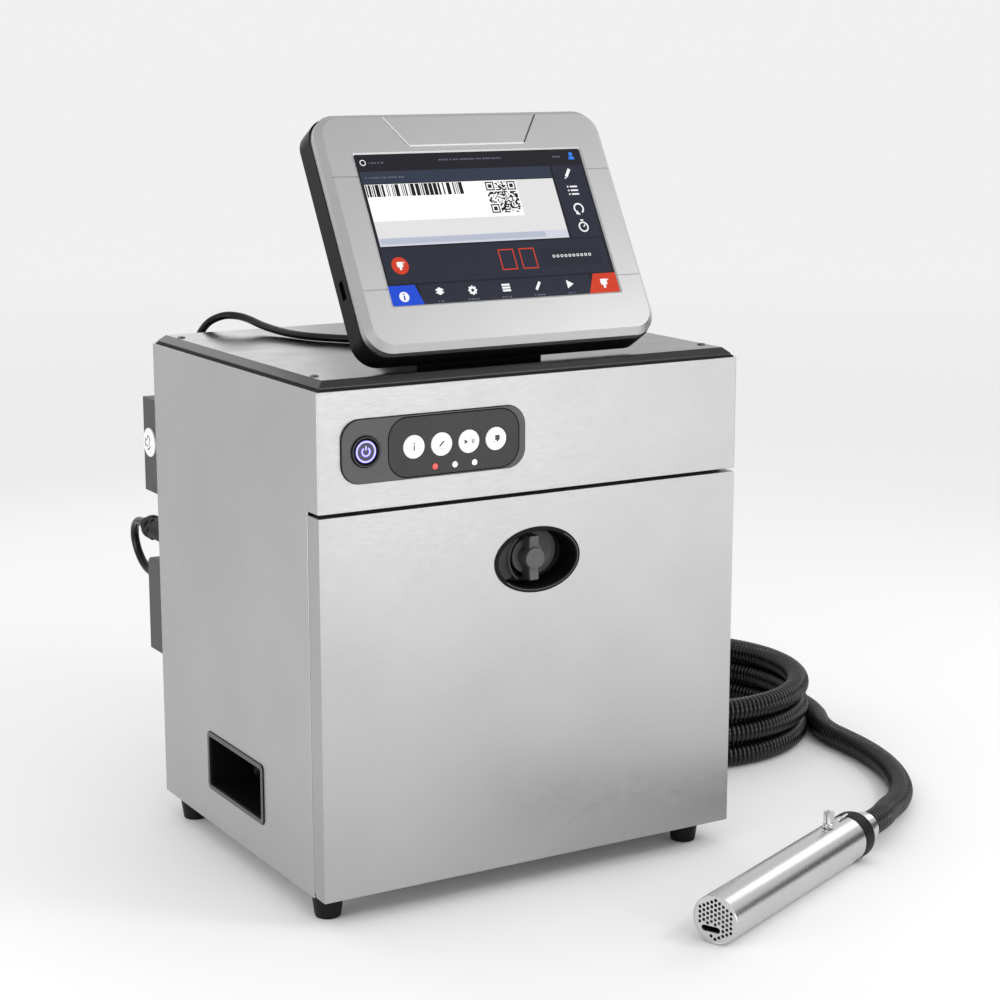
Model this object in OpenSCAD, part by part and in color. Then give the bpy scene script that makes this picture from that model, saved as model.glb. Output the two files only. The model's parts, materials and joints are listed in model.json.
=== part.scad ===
// Date code inkjet printer: a stainless cabinet with a drop-down door, a tilting operator
// terminal on its cover, and a printhead on a coiled umbilical hose.
// Millimetres, +Z up, the front faces -Y. The origin is on the floor, under the cabinet's middle.

/* [Cabinet] */
// Width of the cabinet
cabinet_w = 400; // [390:2:410]
// Depth of the cabinet from the front face to the back panel
cabinet_d = 336; // [330:2:344]
// Height of the cabinet between the feet and the cover
cabinet_h = 420; // [416:1:430]
// Thickness of the stainless sheet
sheet_t = 1.5; // [1.2:0.1:2]
// Height of the fixed fascia above the door
fascia_h = 97; // [92:1:104]
// Gap between the fascia and the door
seam_gap = 3; // [2:0.5:4]
// Depth of the door's side returns
door_return = 20; // [16:1:24]
// Height of the top cover above its gasket
cover_h = 6.5; // [5:0.5:10]
// How far the cover stands back from the cabinet's edge
cover_inset = 3.5; // [2:0.5:6]

/* [Feet] */
// Height of a rubber foot
foot_h = 20; // [16:1:26]
// Diameter of a foot where it meets the base
foot_top_d = 27; // [22:1:32]
// Diameter of a foot on the floor
foot_bottom_d = 21.5; // [16:0.5:26]

/* [Carrying handles] */
// Length of a recessed handle's flange
handle_w = 118; // [100:2:130]
// Height of a recessed handle's flange
handle_h = 54; // [44:1:60]
// Depth of the handle cup behind the panel
handle_depth = 45; // [30:1:52]

/* [Latch] */
// Width of the oval latch cup's rim
latch_w = 82.5; // [76:0.5:90]
// Height of the oval latch cup's rim
latch_h = 55.6; // [52:0.2:64]
// Length of the latch knob's wing
knob_len = 38; // [30:1:40]
// Reach of the latch cam from the knob's axis
cam_reach = 65; // [62:1:68]

/* [Keypad] */
// Width of the keypad bezel
bezel_w = 166.7; // [160:0.1:180]
// Height of the keypad bezel
bezel_h = 51.1; // [46:0.1:60]
// Diameter of a round key
key_d = 19; // [16:0.5:20]
// Distance between neighbouring keys
key_pitch = 25.1; // [23:0.1:27]
// Diameter of the power button's black ring
power_ring_d = 26; // [24:0.5:28]

/* [Terminal] */
// Width of the operator terminal
terminal_w = 272; // [260:1:290]
// Height of the operator terminal along its face
terminal_h = 210; // [200:1:220]
// Thickness of the operator terminal
terminal_t = 39; // [34:0.5:39]
// Lean of the terminal's face back from upright, in degrees
terminal_tilt = 30.1; // [28:0.1:34]
// Width of the glass screen
screen_w = 217; // [200:1:224]
// Height of the glass screen
screen_h = 135.6; // [125:0.2:140]

/* [Umbilical] */
// Diameter of the corrugated umbilical hose
hose_d = 23; // [20:1:24]
// Centreline radius of the coil
coil_r = 130; // [128:1:132]
// Number of turns stacked in the coil
coil_turns = 3; // [2:1:3]

/* [Printhead] */
// Outer diameter of the stainless printhead cover
head_d = 41; // [40:0.5:42]
// Length of the stainless printhead cover
head_len = 226; // [220:1:232]
// Heading of the printhead's axis from +X, in degrees
head_angle = 24.1; // [22:0.1:26]

/* [Fluids] */
// Width of a fluid tank
tank_w = 110; // [90:2:120]
// Depth of a fluid tank
tank_d = 130; // [110:2:140]
// Height of a fluid tank up to its shoulder
tank_h = 176; // [150:2:190]

/* [Hidden] */
$fn = 64;

// Cabinet envelope
x_left = -cabinet_w / 2;
x_right = cabinet_w / 2;
y_front = -cabinet_d / 2;
y_back = cabinet_d / 2;
z_base = foot_h;
z_top = foot_h + cabinet_h;
inner_w = cabinet_w - 2 * sheet_t;
fascia_z = z_top - fascia_h;
body_gap = 1;
y_side = y_front + door_return + body_gap;

// Top cover
gasket_t = 1.5;
cover_z = z_top + gasket_t;
lid_z = cover_z + cover_h;
cover_edge = 1.5;
cover_chamfer = 5.5;
cover_w = cabinet_w - 2 * cover_inset;
cover_d = cabinet_d - 2 * cover_inset;
screw_inset_x = 14;
screw_inset_y = 33;

// Feet
foot_left_x = x_left + 16;
foot_right_x = x_right - 28;
foot_front_y = y_front + 28;
foot_back_y = y_back - 30;

// Handles
handle_y = 6;
handle_z = z_base + 59.5;
cup_wall = 2;
rim_t = 1.2;

// Door and its hinge
door_z = z_base + 2;
door_top = fascia_z - seam_gap;
door_h = door_top - door_z;
hinge_y = y_front + 7;
hinge_z = z_base + 8;
hinge_pin_r = 2.5;
fit = 0.05;
knuckle_x = [-184, -60, 48, 172];
knuckle_w = 12;
arm_x = [-160, 154];
arm_w = 6;

// Latch
latch_z = z_base + 265;
latch_wall = 2;
latch_depth = 24;
knob_r = 9.15;
knob_shaft_r = 6;

// Keypad
bezel_x = x_left + 103.35;
bezel_z = z_top - 49.25;
bezel_t = 2.5;
pocket_t = 1;
membrane_x = 17.15;
membrane_w = 119.8;
membrane_h = 48.4;
power_x = -62.95;
first_key_x = -20.05;
led_x = -0.55;
led_pitch = 18.1;
led_z = -17.75;
board_back = 18;

// Terminal
terminal_x = -14;
terminal_y = -114;
terminal_z = 558.5;
shell_split = 12.5;
shell_chamfer = 5.5;
rear_inset = -0.6;
rear_chamfer = 6;
stand_x = -90;
stand_w = 118;
pin_y = -112;
pin_z = 466;
pin_r = 4;
knuckle_mid = -24;
notch_w = 60;
// The hinge pin seen from the terminal's own frame: along its face, then behind it
pin_up = (pin_y - terminal_y) * sin(terminal_tilt) + (pin_z - terminal_z) * cos(terminal_tilt);
pin_behind = (pin_y - terminal_y) * cos(terminal_tilt) - (pin_z - terminal_z) * sin(terminal_tilt);

// Rear housings
housing_x = x_left + 12;
housing_w = 100;
housing_d = 60;
housing_wall = 2.5;
upper_housing_z = 295;
upper_housing_h = 88;
lower_housing_z = 142;
lower_housing_h = 88.5;
rear_gland_x = -185;
rear_gland_z = 260;
lead_entry_x = -178;
lead_entry_z = 211;
cable_entry = [-150, 193];

// Back panel fittings
fan_x = 100;
fan_z = 390;
fan_size = 80;
fan_t = 25;
inlet_x = 20;
inlet_z = 105;
socket_x = 16;
rocker_x = -26;
umbilical_x = 140;
umbilical_z = 105;
umbilical_gland_len = 30;

// Fluids
ink_x = -85;
solvent_x = 75;
tank_y = -45;
tank_z = z_base + sheet_t;
tank_wall = 2.5;
neck_r = 23;
neck_bore = 20;
neck_h = 16;
cap_r = 27;

// Coil and hose
hose_lift = 0.2;
coil_x = 349;
coil_y = 134;
floor_z = hose_d / 2 + hose_lift;
top_turn_z = floor_z + (coil_turns - 1) * hose_d;

// Printhead, measured along its axis from the perforated front
head_x = 54.4;
head_y = -352.4;
head_z = 21;
head_wall = 1.2;
head_ring_end = head_len + 18;
ferrule_end = head_len + 38;
thumb_at = head_len - 33;
slot_down = 8.7;
slot_left = 4;
slot_w = 17;
slot_h = 5;

// Cord routes: points chosen along each cord's lie
rear_lead_route = [[-185, 236, 260], [-185, 250, 260], [-184.6, 261, 257.5], [-183.8, 269.5, 250.5],
    [-182.6, 273.5, 240], [-181.2, 271, 228.5], [-179.8, 263.5, 218.5], [-178.6, 253, 212.5],
    [-178, 244, 211], [-178, 236, 211]];
terminal_cable_route = [[-60, -44, 454.5], [-60, -26, 452.5], [-59, -8, 451.7], [-63, 8, 451.7],
    [-72, 24, 451.7], [-84, 40, 451.7], [-94, 56, 451.7], [-100, 72, 451.7], [-104, 92, 452],
    [-107, 112, 453], [-110, 132, 455], [-113, 150, 458], [-118, 165, 460], [-127, 177, 459.5],
    [-138, 186, 453], [-146, 191, 440], [-150, 193, 424], [-150, 193, 407], [-150, 193, 391]];
lead_route = [[140, 198, 105], [140, 224, 105], [151, 263, 102], [178, 297, 95], [214, 317, 87],
    [256, 319, 79], [310, 305, 68], [362, 277, 60], [414, 246.6, 57.7]];
run_route = [[502, 134, 11.7], [499, 102, 11.7], [488, 70, 11.7], [473, 43, 11.7],
    [463, 15, 11.7], [460, -14, 11.7], [457, -43, 11.7], [451, -73, 11.7], [441, -104, 11.7],
    [426, -135, 11.7], [405, -165, 12.5], [378, -191, 14.5], [350, -211, 17.5],
    [322.8, -232.3, 21], [295.4, -244.6, 21]];
// The last part turn lies on the floor outside the coil, one hose width further out
outer_turn = [for (a = [150:-15:15]) [coil_x + outer_r(a) * cos(a), coil_y + outer_r(a) * sin(a),
    floor_z]];

function outer_r(a) = coil_r + hose_d * min(1, (195 - a) / 90);

function unit(v) = v / norm(v);

function heading(path, i) = unit(path[min(i + 1, len(path) - 1)] - path[max(i - 1, 0)]);

function oval(w, h) = [for (a = [0:7.5:352.5]) [w / 2 * cos(a), h / 2 * sin(a)]];

// A tube of d across that passes through every point of path; up is never along the path
module tube(path, d, sides, up) {
    last = len(path) - 1;
    points = [for (i = [0:last]) for (k = [0:sides - 1])
        let (t = heading(path, i), s = unit(cross(t, up)), u = cross(s, t), a = (k + 0.5) * 360 / sides)
        path[i] + d / 2 * (cos(a) * s + sin(a) * u)];
    walls = [for (i = [0:last - 1]) for (k = [0:sides - 1])
        let (n = (k + 1) % sides)
        [i * sides + k, i * sides + n, (i + 1) * sides + n, (i + 1) * sides + k]];
    start_cap = [for (k = [sides - 1:-1:0]) k];
    end_cap = [for (k = [0:sides - 1]) last * sides + k];
    polyhedron(points = points, faces = concat(walls, [start_cap, end_cap]), convexity = 10);
}

// Flat outline with round corners
module rounded_rect(w, h, r) {
    square([w - 2 * r, h], center = true);
    square([w, h - 2 * r], center = true);
    for (x = [-1, 1]) for (y = [-1, 1]) translate([x * (w / 2 - r), y * (h / 2 - r)]) circle(r);
}

module rounded_plate(w, h, t, r) {
    linear_extrude(t) rounded_rect(w, h, r);
}

// Round-cornered plate whose far edge is bevelled by c over a height of t
module bevelled_plate(w, h, t, r, c) {
    hull() {
        linear_extrude(0.01) rounded_rect(w, h, r, $fn = 32);
        translate([0, 0, t - 0.01]) linear_extrude(0.01) rounded_rect(w - 2 * c, h - 2 * c, r - c, $fn = 32);
    }
}

// Places its children with their local Z towards the front, back or left
module facing_front(x, y, z) {
    translate([x, y, z]) rotate([90, 0, 0]) children();
}

module facing_back(x, y, z) {
    translate([x, y, z]) rotate([-90, 0, 0]) children();
}

module facing_left(x, y, z) {
    translate([x, y, z]) rotate([0, -90, 0]) children();
}

// Extrudes an outline drawn in Y and Z along X
module along_x(x, w) {
    translate([x, 0, 0]) rotate([90, 0, 90]) linear_extrude(w) children();
}

module box(low, high) {
    translate(low) cube(high - low);
}

module in_terminal() {
    translate([terminal_x, terminal_y, terminal_z]) rotate([90 - terminal_tilt, 0, 0]) children();
}

module along_head(s) {
    translate([head_x, head_y, head_z]) rotate([0, 0, head_angle]) rotate([0, 90, 0])
        translate([0, 0, s]) children();
}

module on_head_top(s) {
    along_head(s) rotate([0, -90, 0]) children();
}

// ---- Cabinet shell ----

module hinge_arm(x) {
    along_x(x, arm_w) {
        polygon([[y_side + 16, z_base + sheet_t], [y_side + body_gap, z_base],
            [hinge_y, hinge_z - 4.6], [hinge_y, hinge_z + 4.6],
            [y_side + body_gap, hinge_z + 5], [y_side + 16, z_base + 6]]);
        translate([hinge_y, hinge_z]) circle(4.6);
    }
}

module base_pan() {
    color("silver") difference() {
        union() {
            box([x_left + sheet_t, y_side + body_gap, z_base],
                [x_right - sheet_t, y_back - sheet_t, z_base + sheet_t]);
            for (x = arm_x) hinge_arm(x);
        }
        for (x = arm_x) along_x(x - 1, arm_w + 2)
            translate([hinge_y, hinge_z]) circle(hinge_pin_r + fit);
    }
}

module side_panel() {
    difference() {
        union() {
            along_x(x_left, sheet_t) polygon([[y_side, z_base], [y_back - sheet_t, z_base],
                [y_back - sheet_t, z_top], [y_front + sheet_t, z_top],
                [y_front + sheet_t, fascia_z], [y_side, fascia_z]]);
            box([x_left, y_front + sheet_t, z_top - sheet_t], [x_left + 14, y_back - sheet_t, z_top]);
        }
        facing_left(x_left + 5, handle_y, handle_z)
            rounded_plate(handle_h - 6, handle_w - 6, 10, 7);
    }
}

module left_side_panel() {
    color("lightgray") side_panel();
}

module right_side_panel() {
    color("lightgray") mirror([1, 0, 0]) side_panel();
}

module back_panel() {
    color("lightgray") difference() {
        box([x_left, y_back - sheet_t, z_base], [x_right, y_back, z_top]);
        for (i = [-3:3]) facing_back(fan_x, y_back - 5, fan_z + 9 * i)
            rounded_plate(64, 4.6, 10, 2.2);
        box([inlet_x - 38, y_back - 5, inlet_z - 14], [inlet_x + 38, y_back + 5, inlet_z + 14]);
        facing_back(umbilical_x, y_back - 5, umbilical_z) cylinder(r = 16, h = 10);
        facing_back(rear_gland_x, y_back - 5, rear_gland_z) cylinder(r = 9, h = 10);
    }
}

module fascia_panel() {
    return_y = y_front + 25;
    lip_h = 9;
    color("gainsboro") difference() {
        union() {
            box([x_left, y_front, fascia_z], [x_right, y_front + sheet_t, z_top]);
            box([x_left + sheet_t, y_front, fascia_z], [x_right - sheet_t, return_y, fascia_z + sheet_t]);
            box([-150, return_y - sheet_t, fascia_z], [150, return_y, fascia_z + lip_h]);
        }
        facing_front(bezel_x - 2.35, y_front + 5, bezel_z - 1.75) rounded_plate(146, 40, 10, 6);
    }
}

module mid_shelf() {
    color("silver") box([x_left + sheet_t, y_front + 34, fascia_z],
        [x_right - sheet_t, y_back - sheet_t, fascia_z + sheet_t]);
}

module top_gasket() {
    color("black") difference() {
        box([x_left + 2, y_front + 2, z_top], [x_right - 2, y_back - 2, cover_z]);
        box([x_left + 13, y_front + 13, z_top - 1], [x_right - 13, y_back - 13, cover_z + 1]);
    }
}

// Side view of the cover across a width w: a straight edge, then a wide bevel
module cover_outline(w) {
    polygon([[-w / 2, 0], [w / 2, 0], [w / 2, cover_edge], [w / 2 - cover_chamfer, cover_h],
        [cover_chamfer - w / 2, cover_h], [-w / 2, cover_edge]]);
}

module top_cover() {
    color("darkgray") difference() {
        translate([0, 0, cover_z]) intersection() {
            translate([0, cover_d / 2, 0]) rotate([90, 0, 0]) linear_extrude(cover_d) cover_outline(cover_w);
            translate([-cover_w / 2, 0, 0]) rotate([90, 0, 90]) linear_extrude(cover_w)
                cover_outline(cover_d);
        }
        at_cover_screws() cylinder(r = 2, h = 20, center = true);
    }
}

module at_cover_screws() {
    for (x = [-1, 1]) for (y = [-1, 1])
        translate([x * (x_right - screw_inset_x), y * (y_back - screw_inset_y), lid_z]) children();
}

module cover_screws() {
    color("dimgray") at_cover_screws() {
        cylinder(r = 3.5, h = 1.2);
        translate([0, 0, -6]) cylinder(r = 1.9, h = 6.2);
    }
}

module rubber_feet() {
    color([0.08, 0.08, 0.08]) for (x = [foot_left_x, foot_right_x]) for (y = [foot_front_y, foot_back_y])
        translate([x, y, 0]) cylinder(d1 = foot_bottom_d, d2 = foot_top_d, h = foot_h);
}

module handle_cup() {
    facing_left(x_left, handle_y, handle_z) difference() {
        union() {
            rounded_plate(handle_h, handle_w, rim_t, 5);
            translate([0, 0, -handle_depth]) rounded_plate(handle_h - 7, handle_w - 7, handle_depth, 6);
        }
        translate([0, 0, cup_wall - handle_depth])
            rounded_plate(handle_h - 11, handle_w - 11, handle_depth + 5, 4);
    }
}

module left_handle_cup() {
    color("black") handle_cup();
}

module right_handle_cup() {
    color("black") mirror([1, 0, 0]) handle_cup();
}

// ---- Keypad ----

module on_bezel() {
    facing_front(bezel_x, y_front, bezel_z) children();
}

module at_key(i) {
    on_bezel() translate([first_key_x + i * key_pitch, 0, 0]) children();
}

module at_leds() {
    on_bezel() for (i = [0:2]) translate([led_x + i * led_pitch, led_z, 0]) children();
}

module keypad_bezel() {
    color("dimgray") difference() {
        on_bezel() rounded_plate(bezel_w, bezel_h, bezel_t, 16);
        on_bezel() translate([membrane_x, 0, bezel_t - pocket_t])
            rounded_plate(membrane_w, membrane_h, 5, 17);
        on_bezel() translate([power_x, 0, -1]) cylinder(r = 11.1, h = 10);
        for (i = [0:3]) at_key(i) translate([0, 0, -1]) cylinder(r = key_d / 2 + 0.4, h = 10);
        at_leds() translate([0, 0, -1]) cylinder(r = 2.6, h = 10);
    }
}

module keypad_membrane() {
    color([0.25, 0.25, 0.27]) difference() {
        on_bezel() translate([membrane_x, 0, bezel_t - pocket_t])
            rounded_plate(membrane_w - 0.4, membrane_h - 0.4, pocket_t, 16.8);
        for (i = [0:3]) at_key(i) cylinder(r = key_d / 2 + 0.3, h = 10);
        at_leds() cylinder(r = 2.55, h = 10);
    }
}

module status_leds() {
    color("red") at_leds() translate([0, 0, -3]) cylinder(r = 2.4, h = bezel_t + 3.4);
}

module power_button_ring() {
    color("black") on_bezel() translate([power_x, 0, 0]) difference() {
        union() {
            translate([0, 0, bezel_t]) cylinder(d = power_ring_d, h = 1.5);
            translate([0, 0, -8]) cylinder(r = 11, h = bezel_t + 8);
        }
        translate([0, 0, -9]) cylinder(r = 9.8, h = 20);
    }
}

module power_button() {
    color([0.2, 0.25, 0.6]) on_bezel() translate([power_x, 0, 0]) {
        translate([0, 0, -6]) cylinder(r = 9.5, h = 9.2);
        translate([0, 0, -12]) cylinder(r = 3.5, h = 6.5);
    }
}

module key(i) {
    at_key(i) {
        translate([0, 0, -1]) cylinder(d = key_d, h = bezel_t + 1.8);
        translate([0, 0, -2.1]) cylinder(r = key_d / 2 + 1.5, h = 2);
        translate([0, 0, -8]) cylinder(r = 3, h = 6.5);
    }
}

module info_key() {
    color("white") key(0);
}

module edit_key() {
    color("white") key(1);
}

module run_key() {
    color("white") key(2);
}

module stop_key() {
    color("white") key(3);
}

module keypad_board() {
    key_switch_h = 9;
    power_switch_h = 3.8;
    color("green") {
        on_bezel() translate([0, -2, -board_back - 1.6]) rounded_plate(174, 76, 1.6, 3);
        for (i = [0:3]) at_key(i) translate([0, 0, -board_back - 0.5])
            cylinder(r = 4, h = key_switch_h + 0.5);
        on_bezel() translate([power_x, 0, -board_back - 0.5]) cylinder(r = 5, h = power_switch_h + 0.5);
    }
}

// ---- Door ----

module door_side_return(x) {
    corner = 5;
    y_return = y_front + door_return;
    along_x(x, sheet_t) polygon([[y_front, door_z], [y_return - corner, door_z],
        [y_return, door_z + corner], [y_return, door_top], [y_front, door_top]]);
}

module door_panel() {
    color("gainsboro") difference() {
        union() {
            box([x_left, y_front, door_z], [x_right, y_front + sheet_t, door_top]);
            door_side_return(x_left);
            door_side_return(x_right - sheet_t);
            box([x_left, y_front, door_top - sheet_t], [x_right, y_front + 18, door_top]);
            for (x = knuckle_x) box([x, y_front, hinge_z - 5], [x + knuckle_w, hinge_y + 4.4, hinge_z + 5]);
        }
        facing_front(0, y_front + 5, latch_z) linear_extrude(10) polygon(oval(latch_w - 2.9, latch_h - 3));
        along_x(x_left + 5, cabinet_w - 10) translate([hinge_y, hinge_z]) circle(hinge_pin_r + fit);
    }
}

module door_hinge_pin() {
    color("gray") along_x(-188, 376) translate([hinge_y, hinge_z]) circle(hinge_pin_r);
}

module latch_cup() {
    color([0.1, 0.1, 0.1]) facing_front(0, y_front, latch_z) difference() {
        union() {
            linear_extrude(rim_t) polygon(oval(latch_w, latch_h));
            translate([0, 0, -latch_depth]) linear_extrude(latch_depth)
                polygon(oval(latch_w - 3.5, latch_h - 3.6));
        }
        difference() {
            translate([0, 0, latch_wall - latch_depth]) linear_extrude(latch_depth + 5)
                polygon(oval(latch_w - 7.5, latch_h - 7.6));
            translate([0, 0, -latch_depth]) cylinder(r = 17, h = latch_wall + 3);
        }
        translate([0, 0, -latch_depth - 1]) cylinder(r = knob_shaft_r + fit, h = 10);
    }
}

module latch_knob() {
    seat = latch_wall + 3.3 - latch_depth;
    color([0.3, 0.3, 0.3]) facing_front(0, y_front, latch_z) {
        translate([0, 0, -latch_depth - 7]) cylinder(r = knob_shaft_r, h = 12);
        translate([0, 0, seat]) cylinder(r = 15, h = 3);
        translate([0, 0, seat + 2]) cylinder(r = knob_r, h = 14);
        translate([0, 0, seat + 2]) rounded_plate(9, knob_len, 12.5, 4.4);
    }
}

module latch_cam() {
    color("silver") facing_front(0, y_front, latch_z) translate([0, 0, -latch_depth - 5]) difference() {
        union() {
            linear_extrude(3) {
                circle(11);
                translate([0, -7]) square([cam_reach - 7, 14]);
                translate([cam_reach - 7, 0]) circle(7);
            }
            translate([0, 0, -2]) cylinder(r = 8, h = 3);
        }
        translate([0, 0, -5]) cylinder(r = knob_shaft_r, h = 10);
    }
}

// ---- Operator terminal ----

module stand_base() {
    color([0.1, 0.1, 0.1]) difference() {
        union() {
            along_x(stand_x, stand_w) polygon([[-127, lid_z], [-127, lid_z + 8],
                [-120, lid_z + 20], [-98, lid_z + 24], [-60, lid_z + 11], [-52, lid_z + 8],
                [-52, lid_z]]);
            facing_back(-60, -54, 454.5) cylinder(r = 6, h = 10);
        }
        box([knuckle_mid - notch_w / 2, -122, lid_z + 4], [knuckle_mid + notch_w / 2, -70, lid_z + 40]);
        box([knuckle_mid - notch_w / 2, -130, lid_z + 10], [knuckle_mid + notch_w / 2, -110, lid_z + 40]);
        along_x(stand_x + 2, stand_w - 4) translate([pin_y, pin_z]) circle(pin_r + fit);
    }
}

module stand_hinge_pin() {
    color("gray") along_x(stand_x + 3, stand_w - 6) translate([pin_y, pin_z]) circle(pin_r);
}

module terminal_front_shell() {
    margin = (terminal_w - screen_w) / 2;
    color("silver") in_terminal() difference() {
        union() {
            translate([0, 0, -shell_split])
                rounded_plate(terminal_w, terminal_h, shell_split - shell_chamfer, 22);
            translate([0, 0, -shell_chamfer])
                bevelled_plate(terminal_w, terminal_h, shell_chamfer, 22, shell_chamfer);
        }
        translate([0, 0, -20]) rounded_plate(screen_w + 1, screen_h + 1, 30, 2);
        translate([0, 0, -shell_split - 1])
            rounded_plate(terminal_w - 8, terminal_h - 8, shell_split - 2.5, 18);
        for (x = [-1, 1]) for (v = [-52.5, 47]) translate([x * (terminal_w - margin) / 2, v, 0])
            cube([margin, 1.2, 1.6], center = true);
    }
}

module terminal_rear_shell() {
    w = terminal_w - 2 * rear_inset;
    h = terminal_h - 2 * rear_inset;
    depth = terminal_t - shell_split;
    back = pin_behind - terminal_t;
    color([0.08, 0.08, 0.08]) in_terminal() difference() {
        union() {
            translate([0, 0, -shell_split]) mirror([0, 0, 1]) rounded_plate(w, h, depth - rear_chamfer, 20);
            translate([0, 0, rear_chamfer - terminal_t]) mirror([0, 0, 1])
                bevelled_plate(w, h, rear_chamfer, 20, rear_chamfer);
            translate([knuckle_mid - terminal_x - notch_w / 2 + 1, pin_up, -pin_behind]) {
                rotate([0, 90, 0]) cylinder(r = 10, h = notch_w - 2);
                translate([0, -8, 0]) cube([notch_w - 2, 16, back + 1]);
            }
        }
        translate([0, 0, 3 - terminal_t]) rounded_plate(w - 6, h - 6, depth, 17);
        translate([knuckle_mid - terminal_x - notch_w, pin_up, -pin_behind])
            rotate([0, 90, 0]) cylinder(r = pin_r + 0.08, h = 2 * notch_w);
        translate([-w / 2, -42, -22]) cube([12, 16, 7], center = true);
    }
}

module terminal_display() {
    color([0.05, 0.08, 0.15]) in_terminal() {
        translate([0, 0, -3.6]) rounded_plate(screen_w, screen_h, 2.6, 1.5);
        translate([0, 0, -9]) rounded_plate(screen_w + 9, screen_h + 9, 5.5, 3);
    }
}

module terminal_cable() {
    color([0.05, 0.05, 0.05]) tube(terminal_cable_route, 7, 8, [1, 0, 0]);
}

// ---- Housings and fittings on the back ----

module upper_rear_housing() {
    low = [housing_x, y_back, upper_housing_z];
    high = [housing_x + housing_w, y_back + housing_d, upper_housing_z + upper_housing_h];
    wall = [housing_wall, 0, housing_wall];
    color([0.2, 0.2, 0.21]) difference() {
        union() {
            box(low, high);
            translate([cable_entry.x, cable_entry.y, upper_housing_z + upper_housing_h])
                cylinder(r = 8, h = 8);
        }
        box(low + wall - [0, 1, 0], high - wall - [0, housing_wall, 0]);
        for (x = [28, 72]) facing_back(housing_x + x, y_back + housing_d - 5, upper_housing_z + 40)
            cylinder(r = 8, h = 10);
    }
}

module lower_rear_housing() {
    color([0.2, 0.2, 0.21]) difference() {
        union() {
            along_x(housing_x, housing_w) lower_housing_outline(0);
            facing_back(lead_entry_x, y_back + housing_d - 1, lead_entry_z) cylinder(r = 7, h = 9);
        }
        along_x(housing_x + housing_wall, housing_w - 2 * housing_wall) lower_housing_outline(housing_wall);
    }
}

module lower_housing_outline(t) {
    z = lower_housing_z;
    top = lower_housing_z + lower_housing_h;
    polygon([[y_back - t, z + t], [y_back + housing_d - t, z + t], [y_back + housing_d - t, top - 4 - t / 2],
        [y_back + housing_d - 4 - t / 2, top - t], [y_back - t, top - t]]);
}

module housing_vent_cap() {
    color("gainsboro") facing_left(housing_x, y_back + 44, upper_housing_z + 47) {
        cylinder(r = 13.5, h = 1.6);
        cylinder(r = 9, h = 2.6);
    }
}

module rear_gland() {
    color([0.12, 0.12, 0.12]) facing_back(rear_gland_x, y_back, rear_gland_z) {
        translate([0, 0, -6]) cylinder(r = 8.9, h = 10);
        cylinder(r = 14, h = 6);
        cylinder(r = 10, h = 42);
        translate([0, 0, 40]) cylinder(r = 11.5, h = 15);
        cylinder(r = 8.5, h = 68);
    }
}

module rear_lead() {
    color([0.05, 0.05, 0.05]) tube(rear_lead_route, 8, 8, [1, 0, 0]);
}

// Filtered appliance inlet with its switch aperture beside it
module mains_inlet() {
    face = y_back + 2.5;
    socket = inlet_x + socket_x;
    rocker = inlet_x + rocker_x;
    color([0.1, 0.1, 0.1]) {
        difference() {
            union() {
                facing_back(inlet_x, y_back, inlet_z) rounded_plate(86, 36, 2.5, 4);
                box([inlet_x - 37.5, y_back - 32, inlet_z - 13.5], [inlet_x + 37.5, y_back, inlet_z + 13.5]);
            }
            box([socket - 12.5, y_back - 16, inlet_z - 9], [socket + 12.5, face + 1, inlet_z + 9]);
            box([rocker - 7.2, y_back - 14, inlet_z - 12], [rocker + 7.2, face + 1, inlet_z + 12]);
        }
        for (p = [[-7, -2], [0, 3], [7, -2]])
            box([socket + p.x - 1, y_back - 17, inlet_z + p.y - 2],
                [socket + p.x + 1, y_back - 1, inlet_z + p.y + 2]);
    }
}

module mains_rocker() {
    color("black") translate([inlet_x + rocker_x, y_back - 1, inlet_z]) rotate([-10, 0, 0]) {
        along_x(-6.7, 13.4) polygon([[-4, -10.6], [3.5, -10.6], [1.8, 0], [3.5, 10.6], [-4, 10.6]]);
        along_x(-7.1, 14.2) circle(1.5);
    }
}

module fan_frame() {
    hub_t = 6;
    color([0.15, 0.15, 0.15]) facing_back(fan_x, y_back - sheet_t - fan_t, fan_z) {
        difference() {
            rounded_plate(fan_size, fan_size, fan_t, 5);
            translate([0, 0, -1]) cylinder(r = 38, h = fan_t + 2);
        }
        translate([0, 0, fan_t - hub_t]) cylinder(r = 15, h = hub_t - 1);
        for (a = [30:120:270]) rotate([0, 0, a]) translate([10, -2, fan_t - 5]) cube([29.5, 4, 3]);
    }
}

module fan_rotor() {
    blades = 7;
    color([0.2, 0.2, 0.2]) facing_back(fan_x, y_back - sheet_t - fan_t, fan_z) {
        translate([0, 0, 2]) cylinder(r = 16, h = 16);
        for (i = [0:blades - 1]) rotate([0, 0, i * 360 / blades]) translate([14, 0, 10])
            rotate([35, 0, 0]) translate([0, -9, -0.8]) cube([22, 18, 1.6]);
    }
}

module main_board() {
    z = fascia_z + sheet_t;
    color("green") {
        box([-130, -60, z + 8], [40, 90, z + 9.6]);
        for (x = [-122, 32]) for (y = [-52, 82]) translate([x, y, z]) cylinder(r = 3.5, h = 9);
        box([-100, -30, z + 9], [-64, 6, z + 14]);
        box([-40, -20, z + 9], [0, 20, z + 24]);
        for (x = [-110:30:10]) box([x, 70, z + 9], [x + 18, 86, z + 20]);
    }
}

module power_supply() {
    z = fascia_z + sheet_t;
    color("silver") difference() {
        box([70, -90, z], [170, 80, z + 46]);
        for (y = [-70:12:50]) box([69, y, z + 12], [73, y + 5, z + 34]);
    }
}

// ---- Ink and solvent ----

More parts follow.
